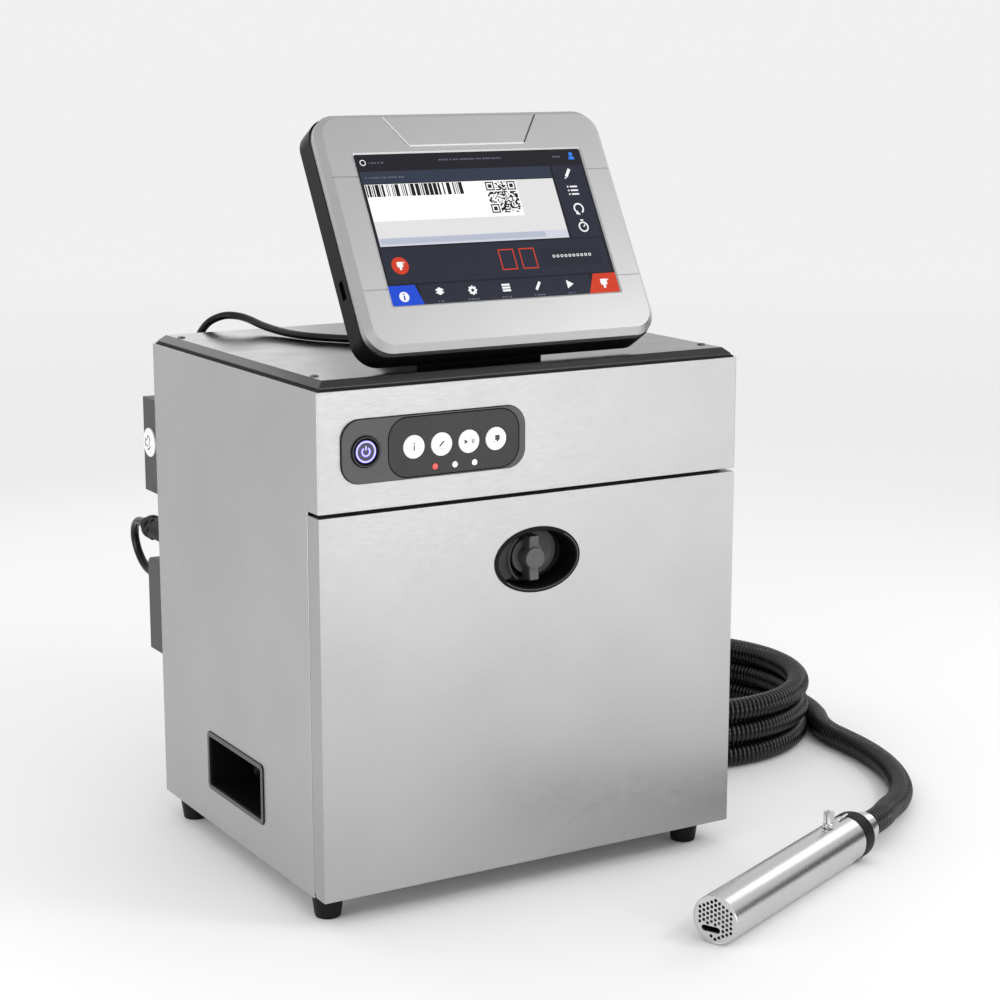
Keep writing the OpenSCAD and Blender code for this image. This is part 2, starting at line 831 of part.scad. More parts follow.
module tank(x) {
    translate([x, tank_y, tank_z]) difference() {
        union() {
            rounded_plate(tank_w, tank_d, tank_h, 12);
            cylinder(r = neck_r, h = tank_h + neck_h);
        }
        translate([0, 0, tank_wall])
            rounded_plate(tank_w - 2 * tank_wall, tank_d - 2 * tank_wall, tank_h - 2 * tank_wall, 9.5);
        translate([0, 0, tank_h - 10]) cylinder(r = neck_bore, h = 40);
    }
}

module tank_cap(x) {
    translate([x, tank_y, tank_z + tank_h]) difference() {
        translate([0, 0, 2]) cylinder(r = cap_r, h = 22);
        translate([0, 0, 1]) cylinder(r = neck_r + 0.35, h = neck_h);
        for (a = [0:20:340]) rotate([0, 0, a]) translate([cap_r + 1, 0, 1]) cylinder(r = 2, h = 30, $fn = 16);
    }
}

module ink_tank() {
    color([0.25, 0.25, 0.28]) tank(ink_x);
}

module ink_cap() {
    color("black") tank_cap(ink_x);
}

module solvent_tank() {
    color([0.85, 0.85, 0.8]) tank(solvent_x);
}

module solvent_cap() {
    color("white") tank_cap(solvent_x);
}

module ink_pump() {
    motor_y = 110;
    motor_z = 60;
    color("slategray") {
        along_x(-31, 82) translate([motor_y, motor_z]) circle(26);
        box([-60, motor_y - 30, tank_z], [-30, motor_y + 30, motor_z + 30]);
        box([0, motor_y - 24, tank_z], [40, motor_y + 24, motor_z - 10]);
        for (y = [-14, 14]) translate([-45, motor_y + y, motor_z + 29]) cylinder(r = 5, h = 17);
    }
}

module hydraulic_manifold() {
    color("slategray") {
        box([-90, 118, 170], [90, 158, 226]);
        for (x = [-80, 60]) box([x, 150, 180], [x + 20, y_back - sheet_t, 216]);
        for (x = [-66:44:66]) translate([x, 138, 225]) cylinder(r = 12, h = 36);
        for (x = [-70:28:70]) facing_front(x, 119, 190) cylinder(r = 4, h = 17);
    }
}

// ---- Umbilical ----

module umbilical_gland() {
    color([0.1, 0.1, 0.1]) facing_back(umbilical_x, y_back, umbilical_z) {
        translate([0, 0, -8]) cylinder(r = 15.9, h = 10);
        cylinder(r = 24, h = 5);
        cylinder(r = 21, h = 18, $fn = 6);
        cylinder(r1 = 18, r2 = 14, h = umbilical_gland_len);
    }
}

module umbilical_lead() {
    color([0.1, 0.1, 0.1]) tube(lead_route, hose_d, 12, [0, 0, 1]);
}

module umbilical_coil() {
    height = (coil_turns - 1) * hose_d;
    color([0.1, 0.1, 0.1]) translate([coil_x, coil_y, 0]) rotate_extrude($fn = 96)
        translate([coil_r, floor_z]) {
            circle(d = hose_d);
            translate([-hose_d / 2, 0]) square([hose_d, height]);
            translate([0, height]) circle(d = hose_d);
        }
}

module umbilical_run() {
    color([0.1, 0.1, 0.1]) tube(concat(outer_turn, run_route), hose_d, 12, [0, 0, 1]);
}

// ---- Printhead ----

function near_slot(x, y) =
    abs(x - slot_down) < slot_h / 2 + 1.8 && abs(y - slot_left) < slot_w / 2 + 1.8;

module head_cover() {
    pitch = 4.1;
    column = pitch * cos(30);
    reach = head_d / 2 - 4;
    color("silver") difference() {
        along_head(0) cylinder(d = head_d, h = head_len);
        along_head(2) cylinder(r = head_d / 2 - head_wall, h = head_len);
        for (i = [-4:4]) for (j = [-5:4]) {
            y = i * column;
            x = (j + (i % 2 == 0 ? 0 : 0.5)) * pitch;
            if (norm([x, y]) < reach && !near_slot(x, y))
                along_head(-1) translate([x, y, 0]) cylinder(r = 1.4, h = 5, $fn = 16);
        }
        along_head(-1) translate([slot_down, slot_left, 0]) rounded_plate(slot_h, slot_w, 5, 2.4);
        on_head_top(thumb_at) translate([0, 0, 10]) cylinder(r = 3.3, h = 20);
    }
}

// Fixed rear barrel with the deck that carries the drop generator and the gutter
module head_deck() {
    barrel_r = head_d / 2 - head_wall - 0.3;
    barrel_at = head_len - 46;
    color("gray") difference() {
        union() {
            along_head(barrel_at) cylinder(r = barrel_r, h = 46);
            along_head(head_len - 1) cylinder(r = 14, h = 25);
            along_head(12) translate([4, -15, 0]) cube([4, 30, barrel_at - 11]);
            along_head(118) translate([-3, 0, 0]) cylinder(r = 7, h = 44);
            along_head(122) translate([-3, -6, 0]) cube([8, 12, 36]);
            along_head(94) translate([-4, -6, 0]) cube([9, 12, 10]);
            along_head(15) translate([-6, -5, 0]) cube([11, 10, 12]);
            along_head(26) translate([2.6, 11, 0]) cylinder(r = 1.6, h = barrel_at - 25);
        }
        on_head_top(0) translate([0, 0, barrel_r - 2.6]) translate([thumb_at - 20, -3.6, 0])
            cube([29, 7.2, 10]);
        along_head(93) translate([-4.1, -1.5, 0]) cube([5, 3, 12]);
        along_head(10) translate([-2, 0, 0]) cylinder(r = 1.2, h = 12);
    }
}

module head_electrodes() {
    color("goldenrod") for (side = [-1, 1]) along_head(44) translate([-9, side * 6 - 1, 0]) {
        cube([11, 2, 42]);
        for (s = [6, 30]) translate([10, -1, s]) cube([3, 4, 6]);
    }
}

module head_rear_ring() {
    color([0.08, 0.08, 0.08]) difference() {
        along_head(head_len + 0.3) cylinder(r = 21, h = head_ring_end - head_len - 0.3);
        along_head(head_len) cylinder(r = 14, h = 30);
    }
}

module head_ferrule() {
    color("lightgray") difference() {
        union() {
            along_head(head_ring_end) cylinder(r = 16, h = 12);
            along_head(head_ring_end) cylinder(r = 14.2, h = ferrule_end - head_ring_end);
        }
        along_head(head_len) cylinder(r = 14, h = 24);
    }
}

module head_thumb_screw() {
    color("silver") on_head_top(thumb_at) {
        translate([0, 0, 17.5]) cylinder(r = 3, h = 12);
        translate([0, 0, 21]) cylinder(r = 4.8, h = 4);
        translate([0, 0, 24]) rounded_plate(13, 4, 11, 1.8);
    }
}

base_pan();
left_side_panel();
right_side_panel();
back_panel();
fascia_panel();
mid_shelf();
top_gasket();
top_cover();
cover_screws();
rubber_feet();
left_handle_cup();
right_handle_cup();
keypad_bezel();
keypad_membrane();
status_leds();
power_button_ring();
keypad_board();
power_button();
info_key();
edit_key();
run_key();
stop_key();
door_panel();
door_hinge_pin();
latch_cup();
latch_knob();
latch_cam();
stand_base();
stand_hinge_pin();
terminal_front_shell();
terminal_rear_shell();
terminal_display();
terminal_cable();
upper_rear_housing();
lower_rear_housing();
housing_vent_cap();
rear_gland();
rear_lead();
mains_inlet();
mains_rocker();
fan_frame();
fan_rotor();
main_board();
power_supply();
ink_tank();
ink_cap();
solvent_tank();
solvent_cap();
ink_pump();
hydraulic_manifold();
umbilical_gland();
umbilical_lead();
umbilical_coil();
umbilical_run();
head_cover();
head_deck();
head_electrodes();
head_rear_ring();
head_ferrule();
head_thumb_screw();
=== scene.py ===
import json
import math
import random

import bmesh
import bpy
from mathutils import Matrix, Vector

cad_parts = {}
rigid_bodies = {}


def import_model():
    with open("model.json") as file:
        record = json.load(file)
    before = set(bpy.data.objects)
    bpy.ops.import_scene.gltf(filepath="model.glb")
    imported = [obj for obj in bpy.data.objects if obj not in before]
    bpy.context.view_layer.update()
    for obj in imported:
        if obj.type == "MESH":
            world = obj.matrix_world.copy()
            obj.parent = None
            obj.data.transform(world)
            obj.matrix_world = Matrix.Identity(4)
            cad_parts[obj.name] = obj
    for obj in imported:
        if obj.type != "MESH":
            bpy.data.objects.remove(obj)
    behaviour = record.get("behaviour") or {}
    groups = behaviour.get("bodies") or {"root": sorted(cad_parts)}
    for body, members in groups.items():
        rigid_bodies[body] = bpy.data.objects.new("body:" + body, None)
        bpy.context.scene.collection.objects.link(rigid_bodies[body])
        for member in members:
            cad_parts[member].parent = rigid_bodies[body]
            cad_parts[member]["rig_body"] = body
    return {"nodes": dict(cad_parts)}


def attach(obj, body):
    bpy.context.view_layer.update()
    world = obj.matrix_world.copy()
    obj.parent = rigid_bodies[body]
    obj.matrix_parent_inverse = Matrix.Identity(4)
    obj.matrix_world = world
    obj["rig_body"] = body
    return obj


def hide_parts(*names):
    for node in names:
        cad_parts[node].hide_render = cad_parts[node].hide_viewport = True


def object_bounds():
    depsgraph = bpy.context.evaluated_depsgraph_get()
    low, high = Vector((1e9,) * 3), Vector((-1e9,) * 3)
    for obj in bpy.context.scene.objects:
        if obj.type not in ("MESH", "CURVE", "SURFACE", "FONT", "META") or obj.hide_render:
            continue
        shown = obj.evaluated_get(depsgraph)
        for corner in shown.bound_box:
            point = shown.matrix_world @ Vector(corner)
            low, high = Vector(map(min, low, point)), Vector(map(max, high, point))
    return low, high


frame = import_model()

cad_low, cad_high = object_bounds()

# Shapes and routes are in millimetres; the camera, the studio and the materials' textures are in metres
MM = 0.001


def mm(*values):
    return Vector([v * MM for v in values])


def turned(axis, degrees):
    return Matrix.Rotation(math.radians(degrees), 4, axis)


def mm_matrix(x, y, z):
    return Matrix.Translation(mm(x, y, z))


def add_object(name, data):
    """Makes an object from a mesh, light or camera and puts it into the scene."""
    item = bpy.data.objects.new(name, data)
    bpy.context.scene.collection.objects.link(item)
    return item


# ---- Camera ----

CAMERA_AT = (-0.94328, -1.71164, 0.70644)
CAMERA_LOOKS_ALONG = (0.4964, 0.8445, -0.2011)
CAMERA_LENS = 80.586    # On a sensor 36 mm wide


def aim(item, place, direction):
    """Stands a camera or light at a place and points it in a direction."""
    item.location = place
    item.rotation_mode = "QUATERNION"
    item.rotation_quaternion = Vector(direction).to_track_quat("-Z", "Y")


def make_camera():
    camera = add_object("camera", bpy.data.cameras.new("camera"))
    aim(camera, CAMERA_AT, CAMERA_LOOKS_ALONG)
    camera.data.sensor_width = 36
    camera.data.lens = CAMERA_LENS
    bpy.context.scene.camera = camera


make_camera()


# ---- Mesh building ----

class Shape:
    """Collects closed solids into one mesh; a matrix places each of them."""

    def __init__(self):
        self.points = []
        self.faces = []

    def loft(self, rings, matrix=Matrix.Identity(4), capped=True):
        """A skin over rings of equally many points, closed by a face at each end."""
        first = len(self.points)
        count = len(rings[0])
        faces = []
        for r in range(len(rings) - 1):
            for k in range(count):
                n = (k + 1) % count
                faces.append([r * count + k, r * count + n, (r + 1) * count + n, (r + 1) * count + k])
        if capped:
            faces.append(list(range(count))[::-1])
            faces.append([(len(rings) - 1) * count + k for k in range(count)])
        self.points += [matrix @ (Vector(p) * MM) for ring in rings for p in ring]
        self.faces += [[first + i for i in face] for face in faces]

    def loop(self, rings, matrix):
        """A skin over rings whose last joins the first, as round a frame."""
        self.loft(rings + [rings[0]], matrix, capped=False)

    def prism(self, outline, low, high, matrix):
        self.loft([raised(outline, z) for z in (low, high)], matrix)

    def block(self, low, high, matrix):
        outline = [(low[0], low[1]), (high[0], low[1]), (high[0], high[1]), (low[0], high[1])]
        self.prism(outline, low[2], high[2], matrix)

    def lathe(self, profile, matrix, steps):
        """Turns (radius, height) points about local Z. A ring profile ends where it began."""
        rings = [raised(circle(radius, steps), height) for radius, height in profile]
        self.loft(rings, matrix, capped=profile[0] != profile[-1])

    def rod(self, radius, low, high, matrix, steps=48):
        self.lathe([(0.0, low), (radius, low), (radius, high), (0.0, high)], matrix, steps)

    def piece(self, name, material, body, smooth_below=40):
        """Makes the object and rides it on a body."""
        build = bmesh.new()
        corners = [build.verts.new(p) for p in self.points]
        for face in self.faces:
            build.faces.new([corners[i] for i in face])
        bmesh.ops.remove_doubles(build, verts=build.verts, dist=1e-7)
        bmesh.ops.recalc_face_normals(build, faces=build.faces)
        return ride_mesh(build, name, material, body, smooth_below)


def ride_mesh(build, name, material, body, smooth_below=40):
    """Makes an object from a bmesh, shades it smooth below an angle in degrees, and rides it on a body."""
    mesh = bpy.data.meshes.new(name)
    build.to_mesh(mesh)
    build.free()
    mesh.shade_smooth()
    mesh.set_sharp_from_angle(angle=math.radians(smooth_below))
    mesh.materials.append(material)
    item = add_object(name, mesh)
    # Lets large flat faces keep their own shading beside small rounded edges
    weighted = item.modifiers.new("even_normals", "WEIGHTED_NORMAL")
    weighted.weight = 100
    weighted.keep_sharp = True
    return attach(item, body)


def turns_of(steps):
    return [2 * math.pi * k / steps for k in range(steps)]


def arc(start, sweep, steps):
    """The cosine and sine at the ends and at each step of an arc given in degrees."""
    angles = [math.radians(start + sweep * k / steps) for k in range(steps + 1)]
    return [(math.cos(a), math.sin(a)) for a in angles]


def raised(outline, z):
    """A flat outline's points at one height."""
    return [(x, y, z) for x, y in outline]


def circle(radius, steps, x=0.0, y=0.0):
    return [(x + radius * math.cos(a), y + radius * math.sin(a)) for a in turns_of(steps)]


def oval(width, height, steps):
    return [(width / 2 * math.cos(a), height / 2 * math.sin(a)) for a in turns_of(steps)]


def rounded(width, height, radius, steps, x=0.0, y=0.0):
    """A rectangle's outline with round corners, counter-clockwise."""
    points = []
    for quarter, (sx, sy) in enumerate([(1, 1), (-1, 1), (-1, -1), (1, -1)]):
        for k in range(steps + 1):
            a = math.pi / 2 * (quarter + k / steps)
            cx = x + sx * (width / 2 - radius)
            cy = y + sy * (height / 2 - radius)
            points.append((cx + radius * math.cos(a), cy + radius * math.sin(a)))
    return points


def softened_plate(shape, width, height, corner, low, high, edge, matrix):
    """A plate with round corners whose far edge is rolled over with a radius of edge."""
    rings = [raised(rounded(width, height, corner, 8), low)]
    for k in range(5):
        a = math.pi / 2 * k / 4
        inset = edge * (1 - math.cos(a))
        outline = rounded(width - 2 * inset, height - 2 * inset, corner - inset, 8)
        rings.append(raised(outline, high - edge + edge * math.sin(a)))
    shape.loft(rings, matrix)


def bar(shape, start, end, width, low, high, matrix):
    """A straight stroke between two flat points."""
    a = Vector(start)
    b = Vector(end)
    side = (b - a).normalized().orthogonal() * width / 2
    outline = [tuple(a - side), tuple(b - side), tuple(b + side), tuple(a + side)]
    shape.prism(outline, low, high, matrix)


def ring(shape, outer, inner, low, high, matrix, x=0.0, y=0.0, start=0.0, sweep=360.0, steps=48):
    """A flat ring, or an arc of one, as a closed solid."""
    count = max(3, round(steps * sweep / 360))
    loops = []
    for c, s in arc(start, sweep, count):
        loops.append([(x + inner * c, y + inner * s, low), (x + outer * c, y + outer * s, low),
                      (x + outer * c, y + outer * s, high), (x + inner * c, y + inner * s, high)])
    if sweep >= 360:
        shape.loop(loops[:-1], matrix)
    else:
        shape.loft(loops, matrix)


def screw_head(shape, radius, matrix, flatter=1.0):
    """A domed screw head that stands on local Z 0, with a round recess in its top."""
    shape.lathe([(radius, 0.0), (radius, 0.9), (radius * 0.86, 1.25), (radius * 0.55, 1.4),
                 (radius * 0.5, 1.35), (radius * 0.46, 0.5), (0.02, 0.5), (0.02, 0.0), (radius, 0.0)],
                matrix @ Matrix.Scale(flatter, 4, Vector((0, 0, 1))), 24)


# ---- Cords ----

LINE_STEP = 4
CORD_SIDES = 20


def smooth_line(points):
    """Points about LINE_STEP apart on a smooth Catmull-Rom curve through the given ones."""
    points = [Vector(p) for p in points]
    first = points[0] * 2 - points[1]
    last = points[-1] * 2 - points[-2]
    control = [first] + points + [last]
    line = []
    for i in range(1, len(control) - 2):
        p0, p1, p2, p3 = control[i - 1:i + 3]
        count = max(1, round((p2 - p1).length / LINE_STEP))
        for k in range(count):
            t = k / count
            line.append(0.5 * (2 * p1 + (p2 - p0) * t + (2 * p0 - 5 * p1 + 4 * p2 - p3) * t ** 2
                               + (3 * p1 - p0 - 3 * p2 + p3) * t ** 3))
    line.append(points[-1])
    return line


def evenly(line, step):
    """The same line with equal spaces of about step between its points, and the line's length."""
    lengths = [0.0]
    for a, b in zip(line, line[1:]):
        lengths.append(lengths[-1] + (b - a).length)
    count = max(2, round(lengths[-1] / step))
    spaced = []
    i = 0
    for k in range(count + 1):
        target = lengths[-1] * k / count
        while i < len(line) - 2 and lengths[i + 1] < target:
            i += 1
        span = max(lengths[i + 1] - lengths[i], 1e-9)
        spaced.append(line[i].lerp(line[i + 1], min(1.0, (target - lengths[i]) / span)))
    return spaced, lengths[-1]


def tube(line, radii):
    """A tube along line, whose radius at each point is that of radii, with no twist along it."""
    up = Vector((0, 0, 1))
    if abs((line[1] - line[0]).normalized().dot(up)) > 0.9:
        up = Vector((1, 0, 0))
    rings = []
    for i, point in enumerate(line):
        along = (line[min(i + 1, len(line) - 1)] - line[max(i - 1, 0)]).normalized()
        side = along.cross(up).normalized()
        up = side.cross(along).normalized()
        rings.append([point + radii[i] * (math.cos(a) * side + math.sin(a) * up)
                      for a in turns_of(CORD_SIDES)])
    shape = Shape()
    shape.loft(rings)
    return shape


# The cords' routes are the CAD model's own points
LEAD_ROUTE = [(140, 198, 105), (140, 224, 105), (151, 263, 102), (178, 297, 95), (214, 317, 87),
              (256, 319, 79), (310, 305, 68), (362, 277, 60)]
RUN_ROUTE = [(502, 134, 11.7), (499, 102, 11.7), (488, 70, 11.7), (473, 43, 11.7), (463, 15, 11.7),
             (460, -14, 11.7), (457, -43, 11.7), (451, -73, 11.7), (441, -104, 11.7), (426, -135, 11.7),
             (405, -165, 12.5), (378, -191, 14.5), (350, -211, 17.5), (322.8, -232.3, 21),
             (295.4, -244.6, 21)]
REAR_LEAD_ROUTE = [(-185, 236, 260), (-185, 250, 260), (-184.6, 261, 257.5), (-183.8, 269.5, 250.5),
                   (-182.6, 273.5, 240), (-181.2, 271, 228.5), (-179.8, 263.5, 218.5), (-178.6, 253, 212.5),
                   (-178, 244, 211), (-178, 236, 211)]
TERMINAL_CABLE_ROUTE = [
    (-60, -44, 454.5), (-60, -26, 452.5), (-59, -8, 451.7), (-63, 8, 451.7), (-72, 24, 451.7),
    (-84, 40, 451.7), (-94, 56, 451.7), (-100, 72, 451.7), (-104, 92, 452), (-107, 112, 453),
    (-110, 132, 455), (-113, 150, 458), (-118, 165, 460), (-127, 177, 459.5), (-138, 186, 453),
    (-146, 191, 440), (-150, 193, 424), (-150, 193, 407), (-150, 193, 391)]
HOSE_D = 23.0
COIL_CENTRE = (349, 134)
COIL_R = 130.0
TOP_TURN_Z = 57.7
RIB_PITCH = 4.8
# How deep the groove is at each of the rings that make one rib
RIB_DEPTHS = (0.0, 0.0, 0.1, 0.7, 1.9, 0.7, 0.1)
TERMINAL_CABLE_D = 7.0
REAR_LEAD_D = 8.0
CABLE_STEP = 3.0


def eased(value, start, end):
    """Runs smoothly from 0 to 1 as value goes from start to end."""
    t = min(1.0, max(0.0, (value - start) / (end - start)))
    return t * t * (3 - 2 * t)


def coil_point(angle):
    """The coil's centreline; the angle falls as the hose winds down and then outwards."""
    z = TOP_TURN_Z - HOSE_D * (eased(-angle, 195, 300) + eased(-angle, 555, 660))
    radius = COIL_R + HOSE_D * min(1.0, max(0.0, (-angle - 885) / 90))
    a = math.radians(angle)
    return (COIL_CENTRE[0] + radius * math.cos(a), COIL_CENTRE[1] + radius * math.sin(a), z)


def make_hose(material):
    turns = [coil_point(angle) for angle in range(60, -1080, -10)]
    rings = len(RIB_DEPTHS)
    line, length = evenly(smooth_line(LEAD_ROUTE + turns + RUN_ROUTE), RIB_PITCH / rings)
    radii = [HOSE_D / 2 - RIB_DEPTHS[i % rings] for i in range(len(line))]
    hose = tube(line, radii).piece("umbilical_hose", material, "cabinet", 70)
    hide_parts("umbilical_lead", "umbilical_coil", "umbilical_run")


def make_cable(name, route, diameter, node, material):
    line, length = evenly(smooth_line(route), CABLE_STEP)
    cable = tube(line, [diameter / 2] * len(line)).piece(name, material, "cabinet", 70)
    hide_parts(node)


# ---- Materials ----

def set_values(node, values):
    """Sets a node's sockets, named with _ for a space, and its other settings."""
    for key, value in values.items():
        socket = key.replace("_", " ")
        if socket in node.inputs:
            node.inputs[socket].default_value = value
        else:
            setattr(node, key, value)


class Nodes:
    """One material's nodes, with constant values set on its shader's own sockets."""

    def __init__(self, name, **shader_values):
        self.material = bpy.data.materials.new(name)
        self.material.use_nodes = True
        self.tree = self.material.node_tree
        self.shader = self.tree.nodes["Principled BSDF"]
        set_values(self.shader, shader_values)
        self.place = self.tree.nodes.new("ShaderNodeTexCoord")

    def node(self, kind, **settings):
        node = self.tree.nodes.new(kind)
        set_values(node, settings)
        return node

    def link(self, source, output, target, socket):
        self.tree.links.new(source.outputs[output], target.inputs[socket])

    def noise(self, size, stretch=(1, 1, 1), detail=3.0):
        """Noise whose features are about size metres across, stretched along the axes."""
        mapping = self.node("ShaderNodeMapping", Scale=stretch)
        self.link(self.place, "Object", mapping, "Vector")
        noise = self.node("ShaderNodeTexNoise", Scale=1 / size, Detail=detail)
        self.link(mapping, "Vector", noise, "Vector")
        return noise

    def colour(self, texture, low, high, output="Fac", start=0.3, end=0.7):
        """Base colour that runs from low to high as the texture does from start to end."""
        ramp = self.node("ShaderNodeValToRGB")
        for element, position, colour in zip(ramp.color_ramp.elements, (start, end), (low, high)):
            element.position = position
            element.color = (*colour, 1)
        self.link(texture, output, ramp, "Fac")
        self.link(ramp, "Color", self.shader, "Base Color")

    def roughness(self, texture, low, high):
        spread = self.node("ShaderNodeMapRange", From_Min=0.3, From_Max=0.7, To_Min=low, To_Max=high)
        self.link(texture, "Fac", spread, "Value")
        self.link(spread, "Result", self.shader, "Roughness")

    def bump(self, texture, strength, depth):
        bump = self.node("ShaderNodeBump", Strength=strength, Distance=depth)
        self.link(texture, "Fac", bump, "Height")
        self.link(bump, "Normal", self.shader, "Normal")


def grey(level):
    return (level, level, level)


def scaled(colour, factor):
    return tuple(c * factor for c in colour)


def steel(name, level, rough, grain=(1, 1, 1), spread=0.06, bump=0.06):
    """Satin metal: fine grain, drawn out along the sheet where grain says so, and faint cloudiness."""
    n = Nodes(name, Metallic=1.0)
    n.colour(n.noise(0.09, detail=2.0), grey(level * 0.965), grey(level * 1.02))
    fine = n.noise(0.0009, grain, 4.0)
    n.roughness(fine, rough - spread, rough + spread)
    n.bump(fine, bump, 0.0002)
    return n.material


def moulded(name, colour, rough, texture=0.0006, bump=0.12, variation=0.08, shine=0.5):
    """Moulded plastic or rubber with a fine spark-eroded texture."""
    n = Nodes(name, Specular_IOR_Level=shine)
    n.colour(n.noise(0.02), scaled(colour, 1 - variation), scaled(colour, 1 + variation))
    skin = n.noise(texture, detail=2.0)
    n.roughness(skin, rough - 0.05, rough + 0.07)
    n.bump(skin, bump, 0.0002)
    return n.material


def lacquered(name, colour, rough, ior):
    """Smooth black lacquer over sheet metal, which mirrors its surroundings at a low angle."""
    n = Nodes(name, IOR=ior)
    n.colour(n.noise(0.05), scaled(colour, 0.8), scaled(colour, 1.2))
    n.roughness(n.noise(0.03), rough - 0.03, rough + 0.03)
    return n.material


def lit(name, colour, glow, strength, rough=0.25, shine=0.5):
    """A lamp, a glowing mark or a bright patch of the screen."""
    n = Nodes(name, Specular_IOR_Level=shine, Emission_Color=(*glow, 1), Emission_Strength=strength)
    n.colour(n.noise(0.004), scaled(colour, 0.94), colour)
    n.roughness(n.noise(0.01), rough - 0.04, rough + 0.04)
    return n.material


def circuit(name):
    """A solder-masked board: green in two tones, with paler tracks between them."""
    n = Nodes(name)
    tracks = n.node("ShaderNodeTexBrick", Scale=90.0, Color1=(0.010, 0.085, 0.030, 1),
                    Color2=(0.014, 0.105, 0.038, 1), Mortar=(0.045, 0.190, 0.060, 1), Mortar_Size=0.03)
    n.link(n.place, "Object", tracks, "Vector")
    n.link(tracks, "Color", n.shader, "Base Color")
    n.roughness(n.noise(0.005), 0.32, 0.45)
    n.bump(tracks, 0.3, 0.0001)
    return n.material


def frosted(name, colour, rough, passes):
    """Blow-moulded tank plastic that lets some light through."""
    n = Nodes(name, Transmission_Weight=passes, IOR=1.45)
    n.colour(n.noise(0.03), scaled(colour, 0.9), colour)
    n.roughness(n.noise(0.002), rough - 0.05, rough + 0.05)
    n.bump(n.noise(0.0015), 0.15, 0.0002)
    return n.material


# The record's material slots
MATERIALS = {
    # side_steel stands lighter than front_steel to match how light the sides and the front looked under the
    # studio light: the difference between their levels is painted light and shade on one steel
    "brushed_steel": steel("side_steel", 0.451, 0.42, (1, 1, 0.12)),
    "front_steel": steel("front_steel", 0.404, 0.42, (0.12, 1, 1)),
    "inner_steel": steel("inner_steel", 0.42, 0.38, (0.3, 1, 1)),
    "cover_metal": lacquered("cover_paint", grey(0.008), 0.15, 1.45),
    "black_rubber": moulded("black_rubber", grey(0.006), 0.50, 0.0008, 0.2, shine=0.15),
    "black_plastic": moulded("black_plastic", grey(0.004), 0.42, 0.0006, 0.15, shine=0.10),
    "housing_plastic": moulded("housing_plastic", grey(0.052), 0.48, 0.0007, 0.25, shine=0.3),
    "bezel_grey": moulded("bezel_grey", grey(0.050), 0.42, 0.0005, 0.12),
    "membrane_grey": moulded("membrane_grey", grey(0.030), 0.50, 0.0009, 0.12, shine=0.3),
    "key_white": moulded("key_white", grey(0.86), 0.35, 0.0006, 0.05, variation=0.02),
    "knob_grey": moulded("knob_grey", grey(0.070), 0.42, 0.0005, 0.2, shine=0.4),
    "terminal_silver": steel("terminal_silver", 0.43, 0.44, spread=0.05, bump=0.03),
    "vent_white": moulded("vent_white", grey(0.80), 0.38, 0.0006, 0.08, variation=0.02),
    "circuit_board": circuit("circuit_board"),
    "alloy": steel("cast_alloy", 0.42, 0.48, spread=0.08, bump=0.2),
    "ink_tank_dark": frosted("ink_tank", (0.035, 0.035, 0.045), 0.30, 0.12),
    "solvent_tank_pale": frosted("solvent_tank", (0.72, 0.74, 0.72), 0.35, 0.35),
    "pump_grey": moulded("pump_grey", (0.11, 0.12, 0.13), 0.45, 0.0009, 0.2),
    "polished_steel": steel("polished_steel", 0.564, 0.27, spread=0.01, bump=0.002),
    "electrode_brass": steel("electrode_brass", 0.55, 0.30, spread=0.05, bump=0.03),
    "screw_dark": steel("screw_dark", 0.16, 0.35, spread=0.05, bump=0.05),
    "hose_black": moulded("hose_black", grey(0.004), 0.24, 0.0008, 0.05, shine=0.4),
    "button_blue": moulded("button_black", (0.010, 0.010, 0.018), 0.25, 0.0008, 0.03),
    "led_red": lit("lamp_red", (0.50, 0.03, 0.02), (1.0, 0.06, 0.05), 1.0),
    "screen_glass": moulded("screen_glass", (0.008, 0.010, 0.016), 0.12, 0.003, 0.01),
}
CABLE_BLACK = moulded("cable_jacket", grey(0.005), 0.22, 0.0010, 0.03, shine=0.25)

make_hose(MATERIALS["hose_black"])
make_cable("terminal_cable_jacket", TERMINAL_CABLE_ROUTE, TERMINAL_CABLE_D, "terminal_cable", CABLE_BLACK)
make_cable("rear_lead_jacket", REAR_LEAD_ROUTE, REAR_LEAD_D, "rear_lead", CABLE_BLACK)


# ---- CAD nodes: rolled edges and finishes ----

# Nodes whose sharp edges are rolled over, by how far in millimetres
ROLLED_EDGES = {
    0.3: "back_panel base_pan latch_cam mains_inlet fan_rotor head_cover head_deck",
    0.4: "mains_rocker",
    0.45: "left_side_panel right_side_panel top_cover",
    0.5: "power_button fan_frame power_supply ink_cap solvent_cap head_ferrule",
    0.6: "fascia_panel door_panel info_key edit_key run_key stop_key",
    0.7: "keypad_bezel terminal_front_shell",
    0.8: "stand_base terminal_rear_shell ink_pump hydraulic_manifold",
    0.9: "upper_rear_housing lower_rear_housing",
    1.2: "rubber_feet ink_tank solvent_tank",
}
# Edges that turn by more than this are rolled over
SHARP_ANGLE = math.radians(32)


def roll_edges(node, width, slot):
    """A copy of a CAD node with its sharp edges rolled over, which stands for the node."""
    source = frame["nodes"][node]
    build = bmesh.new()
    build.from_mesh(source.data)
    bmesh.ops.remove_doubles(build, verts=build.verts, dist=2e-6)
    bmesh.ops.dissolve_limit(build, angle_limit=math.radians(0.4), verts=build.verts, edges=build.edges)
    sharp = [e for e in build.edges if len(e.link_faces) == 2 and e.calc_face_angle(0) > SHARP_ANGLE]
    bmesh.ops.bevel(build, geom=sharp, offset=width * MM, offset_type="OFFSET", segments=2, profile=0.5,
                    affect="EDGES", clamp_overlap=True)
    finished = ride_mesh(build, node + "_finished", MATERIALS[slot], source["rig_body"])
    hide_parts(node)


